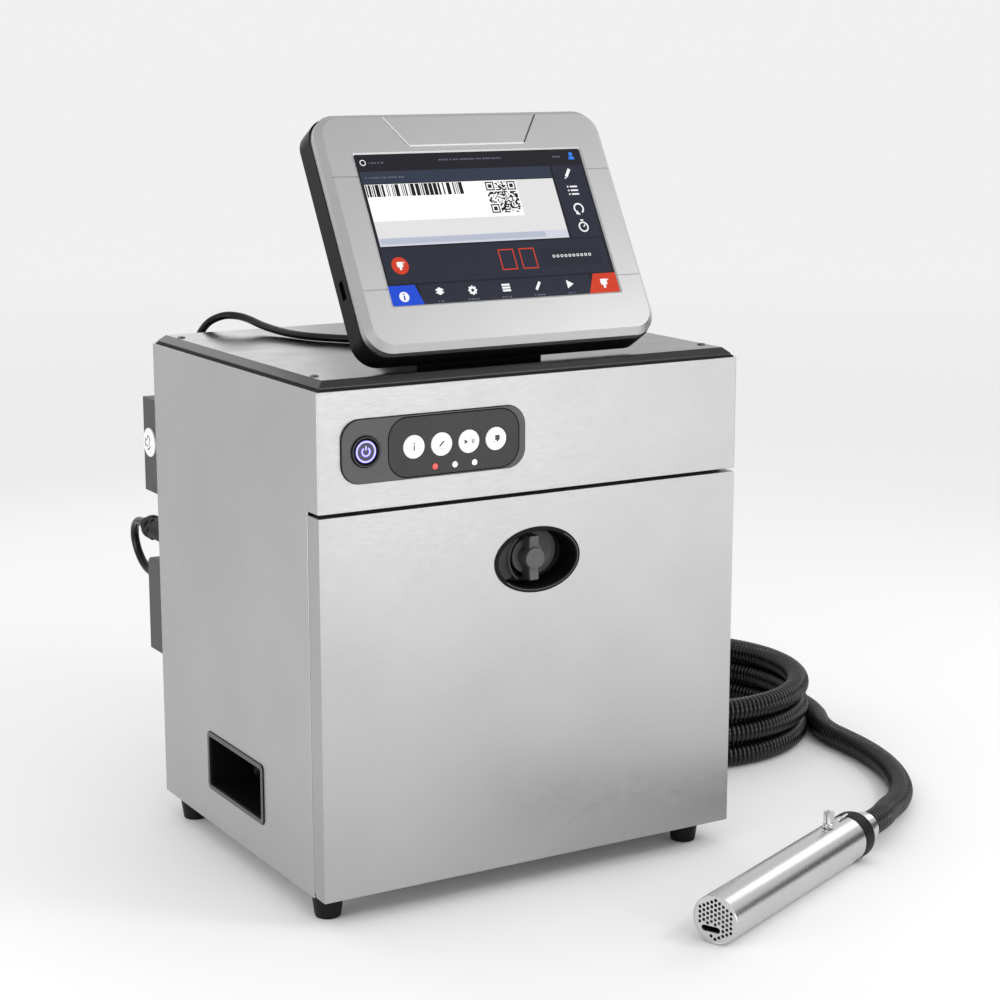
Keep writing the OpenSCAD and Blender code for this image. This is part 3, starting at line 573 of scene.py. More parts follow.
def finish_cad_nodes():
    """Gives every CAD node the look of its slot, and those named above their finished copies."""
    slots = {}
    for name, node in frame["nodes"].items():
        slots[name] = node.material_slots[0].material.name.split(".")[0]
        node.material_slots[0].material = MATERIALS[slots[name]]
    for width, names in ROLLED_EDGES.items():
        for name in names.split():
            roll_edges(name, width, slots[name])


finish_cad_nodes()


# ---- Frames and finished pieces ----

# Local X, Y and Z of a frame that looks out of each side of the cabinet
SIDES = {
    "front": ((1, 0, 0), (0, 0, 1), (0, -1, 0)),
    "back": ((-1, 0, 0), (0, 0, 1), (0, 1, 0)),
    "left": ((0, -1, 0), (0, 0, 1), (-1, 0, 0)),
    "right": ((0, 1, 0), (0, 0, 1), (1, 0, 0)),
}


def facing(side, x, y, z):
    """A frame at a point that looks out of one side of the cabinet."""
    return mm_matrix(x, y, z) @ Matrix(SIDES[side]).transposed().to_4x4()


def made(shape, name, slot, node, replaced=False, material=None, smooth_below=40):
    """Puts a piece on a CAD node's body, in the look of a record slot; it may stand for the node."""
    body = frame["nodes"][node]["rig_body"]
    piece = shape.piece(name, material or MATERIALS[slot], body, smooth_below)
    if replaced:
        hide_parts(node)


def nut(shape, across, low, high, matrix):
    """A hexagon with chamfered corners."""
    chamfer = across * 0.04
    rings = []
    for inset, z in ((chamfer, low), (0, low + chamfer), (0, high - chamfer), (chamfer, high)):
        rings.append(raised(circle(across / 2 - inset, 6), z))
    shape.loft(rings, matrix)


# ---- Operator terminal ----

# The picture's frame: its middle at the front shell's face, its Z out of the screen
TERMINAL = mm_matrix(-14, -114, 558.5) @ turned("X", 59.9)
SCREEN_W = 217.0
SCREEN_H = 135.6
GLASS = -1.0
LAYER = 0.05

# Base colour and glow of each part of the picture
SCREEN_LOOKS = {
    "base": ((0.002, 0.002, 0.003), (0.0090, 0.0090, 0.0140)),
    "panel": ((0.004, 0.004, 0.006), (0.0165, 0.0190, 0.0340)),
    "row": ((0.003, 0.004, 0.005), (0.0140, 0.0155, 0.0270)),
    "strip": ((0.005, 0.006, 0.010), (0.0250, 0.0320, 0.0560)),
    "white": ((0.05, 0.05, 0.05), (1.0, 1.0, 1.0)),
    "grey": ((0.04, 0.04, 0.04), (0.72, 0.72, 0.72)),
    "track": ((0.04, 0.04, 0.05), (0.60, 0.62, 0.70)),
    "thumb": ((0.03, 0.03, 0.04), (0.45, 0.48, 0.58)),
    "ink": ((0.002, 0.002, 0.003), (0.0050, 0.0050, 0.0060)),
    "dim": ((0.010, 0.011, 0.015), (0.10, 0.11, 0.15)),
    "blue": ((0.002, 0.010, 0.060), (0.010, 0.060, 0.58)),
    "sky": ((0.004, 0.020, 0.060), (0.03, 0.20, 0.80)),
    "red": ((0.050, 0.005, 0.003), (0.58, 0.042, 0.014)),
    "icon": ((0.05, 0.05, 0.05), (0.90, 0.90, 0.93)),
}
SCREEN = {name: lit("screen_" + name, base, glow, 1.0, 0.18, 0.18)
          for name, (base, glow) in SCREEN_LOOKS.items()}


def on_screen(layer):
    """The lowest and highest level of one layer of the picture, over the glass."""
    return GLASS + layer * LAYER, GLASS + (layer + 1) * LAYER


def patch(shape, outline, layer):
    """A flat shape of the picture, measured from the middle of the screen."""
    shape.prism(outline, *on_screen(layer), TERMINAL)


def tile(shape, left, right, bottom, top, layer):
    patch(shape, [(left, bottom), (right, bottom), (right, top), (left, top)], layer)


def red_frame(shape, left, right, bottom, top):
    """A frame round a field, one millimetre wide."""
    tile(shape, left, right, top - 1, top, 2)
    tile(shape, left, right, bottom, bottom + 1, 2)
    tile(shape, left, left + 1, bottom + 1, top - 1, 2)
    tile(shape, right - 1, right, bottom + 1, top - 1, 2)


def screen_piece(shape, name, look):
    shape.piece("screen_" + name, SCREEN[look], "terminal")


# Plain fields of the picture: name, look, layer, and each tile's left, right, bottom and top
FIELDS = (
    ("background", "base", 0, ((-SCREEN_W / 2 + 0.2, SCREEN_W / 2 - 0.2,
                                -SCREEN_H / 2 + 0.2, SCREEN_H / 2 - 0.2),)),
    ("panels", "panel", 1, ((75.5, 106.0, -15.6, 51.6), (-105.8, 105.0, -48.0, -16.6),
                            (-80.0, 81.0, -67.4, -49.6))),
    ("strip", "strip", 1, ((-105.8, 73.4, 40.8, 51.6),)),
    ("counter_field", "row", 2, ((41.0, 99.0, -40.2, -24.6),)),
    ("canvas_grey", "grey", 1, ((-104.7, 73.3, -7.5, 40.0),)),
    ("canvas_white", "white", 2, ((-104.6, 36.2, 7.2, 39.9),)),
    ("scroll_track", "track", 1, ((-104.7, 73.3, -15.0, -7.5),)),
    ("scroll_thumb", "thumb", 2, ((-103.4, 51.4, -13.3, -8.2),)),
)


def draw_fields():
    for name, look, layer, tiles in FIELDS:
        field = Shape()
        for edges in tiles:
            tile(field, *edges, layer)
        screen_piece(field, name, look)


def draw_codes():
    """A bar pattern and a dot pattern, both drawn from a seed, so that neither says anything."""
    marks = Shape()
    draw = random.Random(7)
    left = -104.2
    while left < -14.5:
        width = draw.choice((0.7, 0.7, 1.3, 2.0, 3.4))
        tile(marks, left, min(left + width, -13.5), 28.8, 39.6, 3)
        left += width + draw.choice((0.8, 0.9, 1.2, 2.4))

    cells = 25
    size = 1.14
    eyes = ((0, 0), (cells - 7, 0), (0, cells - 7))

    def cell(column, row, across=1, down=1):
        u = 6.6 + column * size
        v = 38.8 - row * size
        tile(marks, u, u + across * size, v - down * size, v, 3)

    for column, row in eyes:
        cell(column, row, 7, 1)
        cell(column, row + 6, 7, 1)
        cell(column, row + 1, 1, 5)
        cell(column + 6, row + 1, 1, 5)
        cell(column + 2, row + 2, 3, 3)
    for row in range(cells):
        for column in range(cells):
            near_eye = any(c - 1 <= column <= c + 7 and r - 1 <= row <= r + 7 for c, r in eyes)
            if not near_eye and draw.random() < 0.5:
                cell(column, row)
    screen_piece(marks, "codes", "ink")


def draw_icons():
    icons = Shape()
    low, high = on_screen(3)

    def stroke(start, end, width):
        bar(icons, start, end, width, low, high, TERMINAL)

    # Pencil, list, turning arrow and clock down the right-hand side
    stroke((87.3, 41.0), (92.3, 48.0), 2.6)
    stroke((85.9, 39.2), (86.9, 40.5), 1.2)
    for k in range(3):
        v = 31.6 - 3.5 * k
        stroke((85.2, v), (86.6, v), 1.4)
        stroke((88.0, v), (95.2, v), 1.4)
    ring(icons, 5.0, 3.6, low, high, TERMINAL, 90.6, 11.1, -60, 290)
    patch(icons, [(86.6, 6.0), (90.8, 5.0), (88.2, 9.4)], 3)
    ring(icons, 4.8, 3.5, low, high, TERMINAL, 90.2, -6.0)
    stroke((90.2, -6.0), (92.2, -4.0), 0.9)
    stroke((88.8, 0.2), (91.6, 0.2), 1.2)
    # Row of pages along the bottom: layers, gear, table, pen and play
    for v in (-55.0, -57.4):
        patch(icons, [(-66.4, v), (-62.4, v - 2.2), (-58.4, v), (-62.4, v + 2.2)], 3)
    ring(icons, 3.4, 1.4, low, high, TERMINAL, -32.2, -57.2)
    for a in turns_of(8):
        c, s = math.cos(a), math.sin(a)
        stroke((-32.2 + 3.2 * c, -57.2 + 3.2 * s), (-32.2 + 4.1 * c, -57.2 + 4.1 * s), 1.4)
    for k in range(3):
        tile(icons, -4.4, 3.2, -60.2 + 2.5 * k, -58.4 + 2.5 * k, 3)
    stroke((27.4, -60.4), (32.2, -53.6), 2.3)
    patch(icons, [(57.8, -61.0), (64.2, -57.2), (57.8, -53.4)], 3)
    # Globe, information mark and the nozzle marks on the two red buttons
    ring(icons, 2.7, 2.0, low, high, TERMINAL, -100.7, 59.6)
    patch(icons, circle(4.4, 40, -95.4, -59.3), 3)
    for u, v, k in ((-91.7, -32.2, 1.0), (94.0, -58.2, 1.15)):
        patch(icons, rounded(5.4 * k, 4.6 * k, 0.8, 3, u, v + 1.0 * k), 4)
        tile(icons, u - 1.0 * k, u + 1.0 * k, v - 3.8 * k, v - 1.3 * k, 4)
        tile(icons, u + 3.3 * k, u + 4.3 * k, v + 2.0 * k, v + 3.2 * k, 4)
    draw_dim_lines()
    # A counter of ten equal marks
    for k in range(10):
        ring(icons, 1.35, 0.75, low, high, TERMINAL, 53.0 + 3.9 * k, -31.4, steps=16)
    draw_user_mark()
    screen_piece(icons, "icons", "icon")


def draw_dim_lines():
    """Rows of short dashes where a real screen has words."""
    dim = Shape()
    draw = random.Random(3)
    for left, right, v in ((-96, -82, 59.3), (-30.6, 29.4, 60.4), (79.4, 89.0, 60.0), (-102, -66, 46.0),
                           (-65.5, -59.8, -65.0), (-38.6, -26.4, -65.0), (-6.6, 3.6, -65.0),
                           (24.0, 34.6, -65.0), (56.6, 63.6, -65.0)):
        u = left
        while u < right - 0.8:
            width = min(draw.choice((1.0, 1.6, 2.3)), right - u)
            tile(dim, u, u + width, v - 0.7, v + 0.7, 2)
            u += width + draw.choice((0.6, 0.6, 1.5))
    screen_piece(dim, "dim_lines", "dim")


def draw_user_mark():
    mark = Shape()
    patch(mark, circle(1.9, 24, 97.8, 62.0), 2)
    patch(mark, [(94.8, 57.0), (100.8, 57.0), (100.0, 59.8), (95.6, 59.8)], 2)
    screen_piece(mark, "user_mark", "sky")


def draw_buttons():
    blue = Shape()
    patch(blue, [(-108.2, -67.5), (-78.6, -67.5), (-83.5, -49.4), (-108.2, -49.4)], 2)
    patch(blue, circle(0.75, 20, -95.4, -57.0), 4)
    tile(blue, -96.1, -94.7, -62.2, -58.5, 4)
    screen_piece(blue, "blue_tab", "blue")
    red = Shape()
    patch(red, [(77.2, -67.5), (108.2, -67.5), (108.2, -49.2), (85.6, -49.2)], 2)
    patch(red, circle(7.6, 48, -91.7, -32.2), 2)
    red_frame(red, 1.0, 15.8, -41.2, -22.6)
    red_frame(red, 20.8, 35.6, -41.2, -22.6)
    screen_piece(red, "red_marks", "red")


draw_fields()
draw_codes()
draw_icons()
draw_buttons()


def make_blank_plate():
    """The raised trapezoid above the screen, left blank."""
    plate = Shape()
    outer = [(-54.6, 73.4), (54.6, 73.4), (72.6, 99.3), (-72.6, 99.3)]
    inner = [(-54.2, 74.0), (54.2, 74.0), (71.6, 99.2), (-71.6, 99.2)]
    plate.loft([raised(outer, -0.3), raised(outer, 0.15), raised(inner, 0.6)], TERMINAL)
    made(plate, "terminal_blank_plate", "terminal_silver", "terminal_front_shell", smooth_below=20)


def make_screen_surround():
    """The bright bevelled frame where the front shell meets the glass."""
    surround = Shape()
    loops = []
    for grow, z in ((-0.9, GLASS + 0.02), (-0.9, GLASS + 0.3), (0.5, 0.12), (0.7, 0.0), (0.7, GLASS + 0.02)):
        loops.append(raised(rounded(SCREEN_W + 2 * grow, SCREEN_H + 2 * grow, 2.0, 4), z))
    surround.loop(loops, TERMINAL)
    made(surround, "screen_surround", "terminal_silver", "terminal_front_shell", smooth_below=20)


def make_terminal_back():
    """Screws and a low cover on the back of the terminal."""
    back = Shape()
    behind = TERMINAL @ mm_matrix(0, 0, -39) @ turned("X", 180)
    for u in (-118, 118):
        for v in (-88, 88):
            screw_head(back, 3.4, behind @ mm_matrix(u, v, -0.4))
    made(back, "terminal_back_screws", "screw_dark", "terminal_rear_shell")
    cover = Shape()
    softened_plate(cover, 110, 70, 6, -0.5, 1.6, 0.8, behind @ mm_matrix(0, -30, 0))
    made(cover, "terminal_back_cover", "black_plastic", "terminal_rear_shell")


# Near-white steel for the painted highlights along the blank plate's left and bottom edges
PAINTED_EDGE_HIGHLIGHT = steel("painted_edge_highlight", 0.92, 0.30, spread=0.03, bump=0.01)
# Dark grey for the keys' printed marks, and for painted shade along the blank plate's right edge and in the
# vent cap's slots
PRINT_AND_SHADE_GREY = moulded("print_and_shade_grey", grey(0.030), 0.5)


def make_plate_edges():
    """Painted highlights along the blank plate's left and bottom edges, and a painted shadow along its right
    one.
    """
    # The pale strips on the left and bottom edges are painted highlights
    bright = Shape()
    bar(bright, (-54.6, 73.2), (-72.9, 99.6), 0.9, 0.0, 0.75, TERMINAL)
    bar(bright, (-54.8, 73.2), (54.8, 73.2), 0.9, 0.0, 0.75, TERMINAL)
    made(bright, "terminal_plate_painted_highlight", "terminal_silver", "terminal_front_shell", material=PAINTED_EDGE_HIGHLIGHT)
    # The dark strip on the right edge is a painted shadow
    dark = Shape()
    bar(dark, (54.6, 73.2), (72.9, 99.6), 1.1, 0.0, 0.7, TERMINAL)
    made(dark, "terminal_plate_shadow", "terminal_silver", "terminal_front_shell", material=PRINT_AND_SHADE_GREY)


# ---- Keypad ----

BEZEL = facing("front", -96.65, -168, 390.75)
BEZEL_T = 2.5
KEY_TOP = BEZEL_T + 0.8
KEY_X = [-20.05 + 25.1 * i for i in range(4)]
POWER_X = -62.95
LED_AT = [(-0.55 + 18.1 * i, -17.75) for i in range(3)]

POWER_LIGHT = lit("power_light", (0.30, 0.28, 0.75), (0.42, 0.38, 1.0), 1.1)
POWER_HALO = lit("power_halo", (0.05, 0.04, 0.40), (0.07, 0.05, 0.62), 1.0)
LAMP_WHITE = lit("lamp_white", (0.8, 0.8, 0.8), (1.0, 1.0, 1.0), 0.75)
LAMP_RED = lit("lamp_red_lens", (0.55, 0.05, 0.04), (1.0, 0.075, 0.07), 0.95)
ICON_PALE = moulded("icon_pale", grey(0.40), 0.5)
SEAL_BLACK = moulded("seal_black", grey(0.003), 0.55, shine=0.1)


def make_keypad_seals():
    """The thin black seals round the bezel and round the membrane."""
    seals = Shape()
    for width, height, corner, x, low, high in ((166.7, 51.1, 16.0, 0.0, 0.0, 0.7),
                                                (119.8, 48.4, 17.0, 17.15, BEZEL_T - 0.3, BEZEL_T + 0.06)):
        loops = []
        for grow, z in ((-0.45, low), (0.55, low), (0.55, high), (-0.45, high)):
            outline = rounded(width + 2 * grow, height + 2 * grow, corner + grow, 10, x)
            loops.append(raised(outline, z))
        seals.loop(loops, BEZEL)
    made(seals, "keypad_seals", "black_rubber", "keypad_bezel", material=SEAL_BLACK)


def make_power_button():
    matrix = BEZEL @ mm_matrix(POWER_X, 0, 0)
    halo = Shape()
    ring(halo, 9.0, 7.1, 2.9, 3.26, matrix)
    ring(halo, 4.5, 2.3, 2.9, 3.24, matrix, start=-235, sweep=290)
    made(halo, "power_halo", "button_blue", "power_button", material=POWER_HALO)
    glow = Shape()
    ring(glow, 8.6, 7.5, 3.0, 3.34, matrix)
    ring(glow, 3.8, 2.9, 3.0, 3.32, matrix, start=-235, sweep=290)
    bar(glow, (0, 1.2), (0, 4.6), 1.0, 3.0, 3.32, matrix)
    made(glow, "power_light", "button_blue", "power_button", material=POWER_LIGHT)
    collar = Shape()
    collar.lathe([(9.9, 2.0), (13.0, 2.0), (13.0, 3.2), (12.3, 3.95), (11.0, 4.0), (10.3, 3.7), (9.9, 3.0),
                  (9.9, 2.0)], matrix, 72)
    collar.lathe([(9.8, -7.9), (10.95, -7.9), (10.95, 2.1), (9.8, 2.1), (9.8, -7.9)], matrix, 72)
    made(collar, "power_collar", "black_plastic", "power_button_ring", replaced=True)
    band = Shape()
    band.lathe([(11.4, 3.9), (11.9, 3.9), (11.9, 4.1), (11.4, 4.1), (11.4, 3.9)], matrix, 72)
    made(band, "power_collar_line", "bezel_grey", "power_button_ring")


def key_icon(i, node):
    """One key's mark: an i, a pencil, play and pause, or a sheet with an arrow."""
    matrix = BEZEL @ mm_matrix(KEY_X[i], 0, 0)
    low, high = KEY_TOP - 0.1, KEY_TOP + 0.05
    dark = Shape()
    pale = Shape()

    def stroke(shape, start, end, width):
        bar(shape, start, end, width, low, high, matrix)

    if i == 0:
        stroke(dark, (0, -2.6), (0, 1.2), 1.1)
        dark.prism(circle(0.75, 20, 0, 2.7), low, high, matrix)
        stroke(pale, (-1.1, -2.9), (1.1, -2.9), 0.5)
    elif i == 1:
        stroke(dark, (-1.9, -1.4), (1.9, 2.4), 1.4)
        dark.prism([(-3.1, -2.6), (-1.9, -2.2), (-2.6, -1.4)], low, high, matrix)
        stroke(pale, (-2.6, -3.6), (3.0, -3.6), 0.5)
    elif i == 2:
        dark.prism([(-4.4, -2.0), (-1.0, 0.0), (-4.4, 2.0)], low, high, matrix)
        stroke(pale, (-0.7, -3.4), (1.3, 3.4), 0.5)
        for x in (2.7, 4.3):
            stroke(dark, (x, -1.9), (x, 1.9), 0.8)
    else:
        dark.block((-1.0, -1.2, low), (3.2, 3.0, high), matrix)
        dark.prism([(0.0, -1.2), (1.1, -2.9), (2.2, -1.2)], low, high, matrix)
        stroke(pale, (-3.4, -2.4), (-0.8, -2.4), 0.6)
        stroke(pale, (-3.4, -3.5), (0.6, -3.5), 0.5)
    made(dark, node + "_mark", "key_white", node, material=PRINT_AND_SHADE_GREY)
    made(pale, node + "_mark_pale", "key_white", node, material=ICON_PALE)


def make_lamps():
    for i, (x, y) in enumerate(LED_AT):
        lamp = Shape()
        lamp.lathe([(0.0, -3.0), (2.4, -3.0), (2.4, 2.2), (2.2, 2.55), (1.6, 2.8), (0.8, 2.88), (0.0, 2.9)],
                   BEZEL @ mm_matrix(x, y, 0), 32)
        made(lamp, "status_lamp_%d" % (i + 1), "led_red", "status_leds", replaced=(i == 0),
             material=LAMP_WHITE if i else LAMP_RED, smooth_below=60)


# ---- Latch ----

LATCH = facing("front", 0, -168, 285)
LATCH_FLOOR = -22.0
LATCH_SEAT = -18.7
# Greys lighter than the bowl's black for the side slope, the knob wall and the floor dish: painted light on
# the faces inside the bowl that catch the light
LATCH_INSIDE_PAINTED_LIGHT = moulded("latch_inside_painted_light", grey(0.020), 0.45, 0.0006, 0.15, shine=0.3)
LATCH_DISH_PAINTED_LIGHT = moulded("latch_dish_painted_light", grey(0.042), 0.42, 0.0006, 0.15, shine=0.3)

# The dish's height over the floor at distances from its own middle, which DISH_X and DISH_Y place
DISH_PROFILE = ((0.0, 0.3), (12.0, 0.5), (16.5, 1.2), (18.2, 2.2), (18.9, 2.8), (19.6, 2.8), (20.0, 2.2))
DISH_X = 9.2
DISH_Y = 2.4
SHAFT_HOLE = 6.4


def dish_height(radius):
    """How high the dish stands at a distance from its middle."""
    for (r0, z0), (r1, z1) in zip(DISH_PROFILE, DISH_PROFILE[1:]):
        if radius <= r1:
            return z0 + (z1 - z0) * (radius - r0) / (r1 - r0)
    return DISH_PROFILE[-1][1]


def make_latch_dish():
    """The round dish on the bowl's floor, off centre, with a hole that the knob's shaft turns in."""
    def between(part, radius):
        for x, y in circle(1, 96):
            near = (SHAFT_HOLE * x, SHAFT_HOLE * y)
            far = (DISH_X + radius * x, DISH_Y + radius * y)
            yield near[0] + (far[0] - near[0]) * part, near[1] + (far[1] - near[1]) * part

    def level(part, radius, z=None):
        return [(x, y, LATCH_FLOOR + (dish_height(math.hypot(x - DISH_X, y - DISH_Y)) if z is None else z))
                for x, y in between(part, radius)]

    loops = [level(0.0, 16.5, -0.6)]
    loops += [level(part, 16.5) for part in (0.0, 0.33, 0.67, 1.0)]
    loops += [level(1.0, radius) for radius in (18.2, 18.9, 19.6, 20.0)]
    loops.append(level(1.0, 20.0, -0.6))
    dish = Shape()
    dish.loop(loops, LATCH)
    # The dish's lighter grey is painted light
    made(dish, "latch_floor_dish", "knob_grey", "latch_cup", material=LATCH_DISH_PAINTED_LIGHT, smooth_below=50)


def make_latch_bowl():
    """The oval bowl with its rim, a side slope, a curved wall round the knob and a dish on the floor."""
    bowl = Shape()
    loops = []
    for width, height, z in ((82.5, 55.6, 0.0), (82.5, 55.6, 0.7), (81.6, 54.7, 1.2), (76.8, 49.9, 1.2),
                             (75.2, 48.2, 0.4), (75.0, 48.0, -6.0), (74.2, 47.2, -18.0), (71.0, 44.0, -21.2),
                             (62.0, 36.0, LATCH_FLOOR), (12.6, 12.6, LATCH_FLOOR), (12.6, 12.6, -24.0),
                             (79.0, 52.0, -24.0), (79.0, 52.0, 0.0)):
        loops.append(raised(oval(width, height, 96), z))
    bowl.loop(loops, LATCH)
    made(bowl, "latch_bowl", "black_plastic", "latch_cup", replaced=True)

    # A lighter grey arc over the rim's inner edge, along its right and lower part only: a painted highlight
    line = Shape()
    loops = []
    for c, s in arc(50, -190, 60):
        loops.append([(u / 2 * c, v / 2 * s, z) for u, v, z in
                      ((77.2, 50.3, 0.9), (78.6, 51.7, 0.9), (78.6, 51.7, 1.34), (77.2, 50.3, 1.34))])
    line.loft(loops, LATCH)
    made(line, "latch_rim_line", "bezel_grey", "latch_cup")

    # The slope and the wall are in a lighter grey than the bowl: painted light
    slope = Shape()
    rings = []
    for c, s in arc(122, 94, 24):
        rings.append([(37.4 * c, 23.9 * s, LATCH_FLOOR + 1), (37.4 * c, 23.9 * s, -0.6),
                      (30.0 * c, 22.9 * s, -2.6), (24.4 * c, 22.4 * s, -7.0),
                      (23.4 * c, 22.2 * s, -9.0), (23.4 * c, 22.2 * s, LATCH_FLOOR + 1)])
    slope.loft(rings, LATCH)
    made(slope, "latch_side_slope", "knob_grey", "latch_cup", material=LATCH_INSIDE_PAINTED_LIGHT, smooth_below=50)

    wall = Shape()
    ring(wall, 22.6, 20.8, LATCH_FLOOR - 0.5, -9.5, LATCH, start=128, sweep=104, steps=96)
    made(wall, "latch_knob_wall", "knob_grey", "latch_cup", material=LATCH_INSIDE_PAINTED_LIGHT)

    make_latch_dish()


def make_knob():
    """The knob: a shaft, a base disc, a round boss, and two wings that stand higher towards their ends."""
    knob = Shape()
    knob.lathe([(0.0, -31.0), (5.6, -31.0), (6.0, -30.6), (6.0, -19.0), (14.6, LATCH_SEAT), (15.0, -18.3),
                (15.0, -16.2), (14.6, -15.7), (0.0, -15.7)], LATCH, 64)
    for side in (1, -1):
        rings = []
        for y, top in ((2.0, -5.4), (9.0, -5.2), (17.4, -4.3), (18.6, -4.6), (19.0, -5.6)):
            half = 4.5 if y < 18 else 4.5 - (y - 18) * 0.8
            rings.append([(x * half, side * y, z) for x, z in
                          ((-1.0, -16.6), (1.0, -16.6), (1.0, top - 0.6), (0.9, top - 0.15), (0.8, top),
                           (-0.8, top), (-0.9, top - 0.15), (-1.0, top - 0.6))])
        knob.loft(rings, LATCH)
    knob.lathe([(0.0, -16.6), (9.15, -16.6), (9.15, -3.6), (8.9, -3.0), (8.3, -2.7), (0.0, -2.7)], LATCH, 64)
    made(knob, "latch_wing_knob", "knob_grey", "latch_knob", replaced=True, smooth_below=35)


# ---- Hand grips ----

RIM_GREY = moulded("rim_grey", grey(0.055), 0.40, 0.0006, 0.1)


def grip_frame(profile, matrix):
    """A frame round the grip's opening: how much wider it is, its corner radius and its height."""
    shape = Shape()
    shape.loop([raised(rounded(118 + grow, 54 + grow, corner, 6), z) for grow, corner, z in profile], matrix)
    return shape


def make_hand_grip(name, node, matrix):
    """A pocket with a flange, whose side walls lean in towards the back."""
    pocket = grip_frame(((0, 5, 0.0), (0, 5, 0.7), (-1.0, 4.6, 1.2), (-9.0, 3.0, 1.2), (-10.6, 2.4, 0.2),
                         (-11.0, 2.2, -2.0), (-15.0, 4.0, -40.0), (-21.0, 6.0, -43.0),
                         (-21.0, 6.0, -45.0), (-7.0, 5.0, -45.0), (-7.0, 5.0, 0.0)), matrix)
    made(pocket, name, "black_plastic", node, replaced=True)
    floor = Shape()
    softened_plate(floor, 98, 34, 6, -44.6, -42.6, 0.5, matrix)
    made(floor, name + "_floor", "black_plastic", node)
    rim = grip_frame(((-0.7, 4.7, 1.1), (-1.3, 4.4, 1.32), (-8.4, 3.1, 1.32), (-9.0, 2.9, 1.1)), matrix)
    made(rim, name + "_rim", "black_plastic", node, material=RIM_GREY)


# ---- Cover screws ----

def make_cover_screws():
    heads = Shape()
    for x in (-186, 186):
        for y in (-135, 135):
            screw_head(heads, 3.5, mm_matrix(x, y, 447.9), 0.82)
            heads.rod(1.9, -6.0, 0.4, mm_matrix(x, y, 448), 24)
    made(heads, "cover_screw_heads", "screw_dark", "cover_screws", replaced=True)


# ---- Rear of the cabinet ----

LOW_HEAD = 0.7    # How high a low screw head is, against a full one


def make_vent_cap():
    matrix = facing("left", -188, 212, 342)
    cap = Shape()
    cap.lathe([(0.0, -1.0), (13.5, -1.0), (13.5, 1.1), (13.0, 1.6), (9.6, 1.6), (9.3, 1.9), (9.0, 2.4),
               (8.6, 2.6), (0.0, 2.6)], matrix, 64)
    made(cap, "housing_vent_disc", "vent_white", "housing_vent_cap", replaced=True)
    # Dark arcs laid on the cap where its slots are, with no holes cut: painted shade for the dark inside the
    # open slots
    slots = Shape()
    for start in (20, 140, 260):
        ring(slots, 6.9, 5.6, 2.4, 2.72, matrix, start=start, sweep=80)
        ring(slots, 4.2, 3.1, 2.4, 2.72, matrix, start=start + 60, sweep=80)
    made(slots, "housing_vent_slot_shade", "vent_white", "housing_vent_cap", material=PRINT_AND_SHADE_GREY)


def make_glands():
    rear = Shape()
    matrix = facing("back", -185, 168, 260)
    rear.rod(8.9, -6.0, 1.0, matrix)
    nut(rear, 28.0, 0.0, 6.0, matrix)
    rear.rod(10.0, 5.0, 41.0, matrix)
    nut(rear, 23.0, 40.0, 48.0, matrix)
    profile = [(0.0, 47.0), (10.6, 47.0), (11.2, 48.0), (11.2, 54.0), (9.6, 55.4), (8.5, 56.0), (8.5, 58.4)]
    for k in range(3):
        z = 58.8 + 3.1 * k
        radius = 8.3 - 0.8 * k
        profile += [(radius - 1.2, z), (radius - 1.2, z + 0.5), (radius, z + 1.0), (radius, z + 2.6)]
    rear.lathe(profile + [(4.6, 68.0), (0.0, 68.0)], matrix, 48)
    made(rear, "rear_gland_ribbed", "black_rubber", "rear_gland", replaced=True)

    hose_end = Shape()
    matrix = facing("back", 140, 168, 105)
    hose_end.rod(15.9, -8.0, 1.0, matrix)
    hose_end.lathe([(0.0, 0.0), (24.0, 0.0), (24.0, 3.8), (22.8, 5.0), (0.0, 5.0)], matrix, 64)
    nut(hose_end, 42.0, 4.5, 18.0, matrix)
    hose_end.lathe([(0.0, 17.0), (17.6, 17.0), (17.2, 19.0), (16.2, 24.0), (14.6, 28.8), (13.6, 30.0),
                    (0.0, 30.0)], matrix, 48)
    made(hose_end, "umbilical_gland_nut", "black_rubber", "umbilical_gland", replaced=True)


def low_screws(shape, radius, y, places):
    """Flat screw heads on a rear face that lies at y."""
    for x, z in places:
        screw_head(shape, radius, facing("back", x, y, z), LOW_HEAD)


def make_back_screws():
    panel = Shape()
    low_screws(panel, 3.2, 168, [(x, z) for x in (-192, -64, 64, 192) for z in (30, 432)])
    low_screws(panel, 3.2, 168, [(192, z) for z in (120, 230, 340)])
    low_screws(panel, 2.6, 170.5, [(-18, 105), (58, 105)])
    made(panel, "back_panel_screws", "screw_dark", "back_panel")
    for part, heights in (("upper", (303, 375)), ("lower", (150,))):
        lid = Shape()
        low_screws(lid, 2.6, 228, [(x, z) for x in (-180, -96) for z in heights])
        made(lid, part + "_housing_screws", "screw_dark", part + "_rear_housing")


def make_fan_guard():
    guard = Shape()
    matrix = facing("back", 100, 168, 390)
    for radius in (14, 24, 34):
        ring(guard, radius + 0.8, radius - 0.8, 0.6, 2.2, matrix)
    for c, s in arc(45, 270, 3):
        bar(guard, (13 * c, 13 * s), (42 * c, 42 * s), 1.8, 0.1, 1.4, matrix)
        screw_head(guard, 3.0, matrix @ mm_matrix(42 * c, 42 * s, 0.6), LOW_HEAD)
    made(guard, "fan_wire_guard", "polished_steel", "back_panel")


# ---- Printhead ----

HEAD = mm_matrix(54.4, -352.4, 21) @ turned("Z", 24.1) @ turned("Y", 90)


def on_head_top(s):
    """A frame on the printhead's axis, s along it, whose Z points up and X along the axis."""
    return HEAD @ mm_matrix(0, 0, s) @ turned("Y", -90)


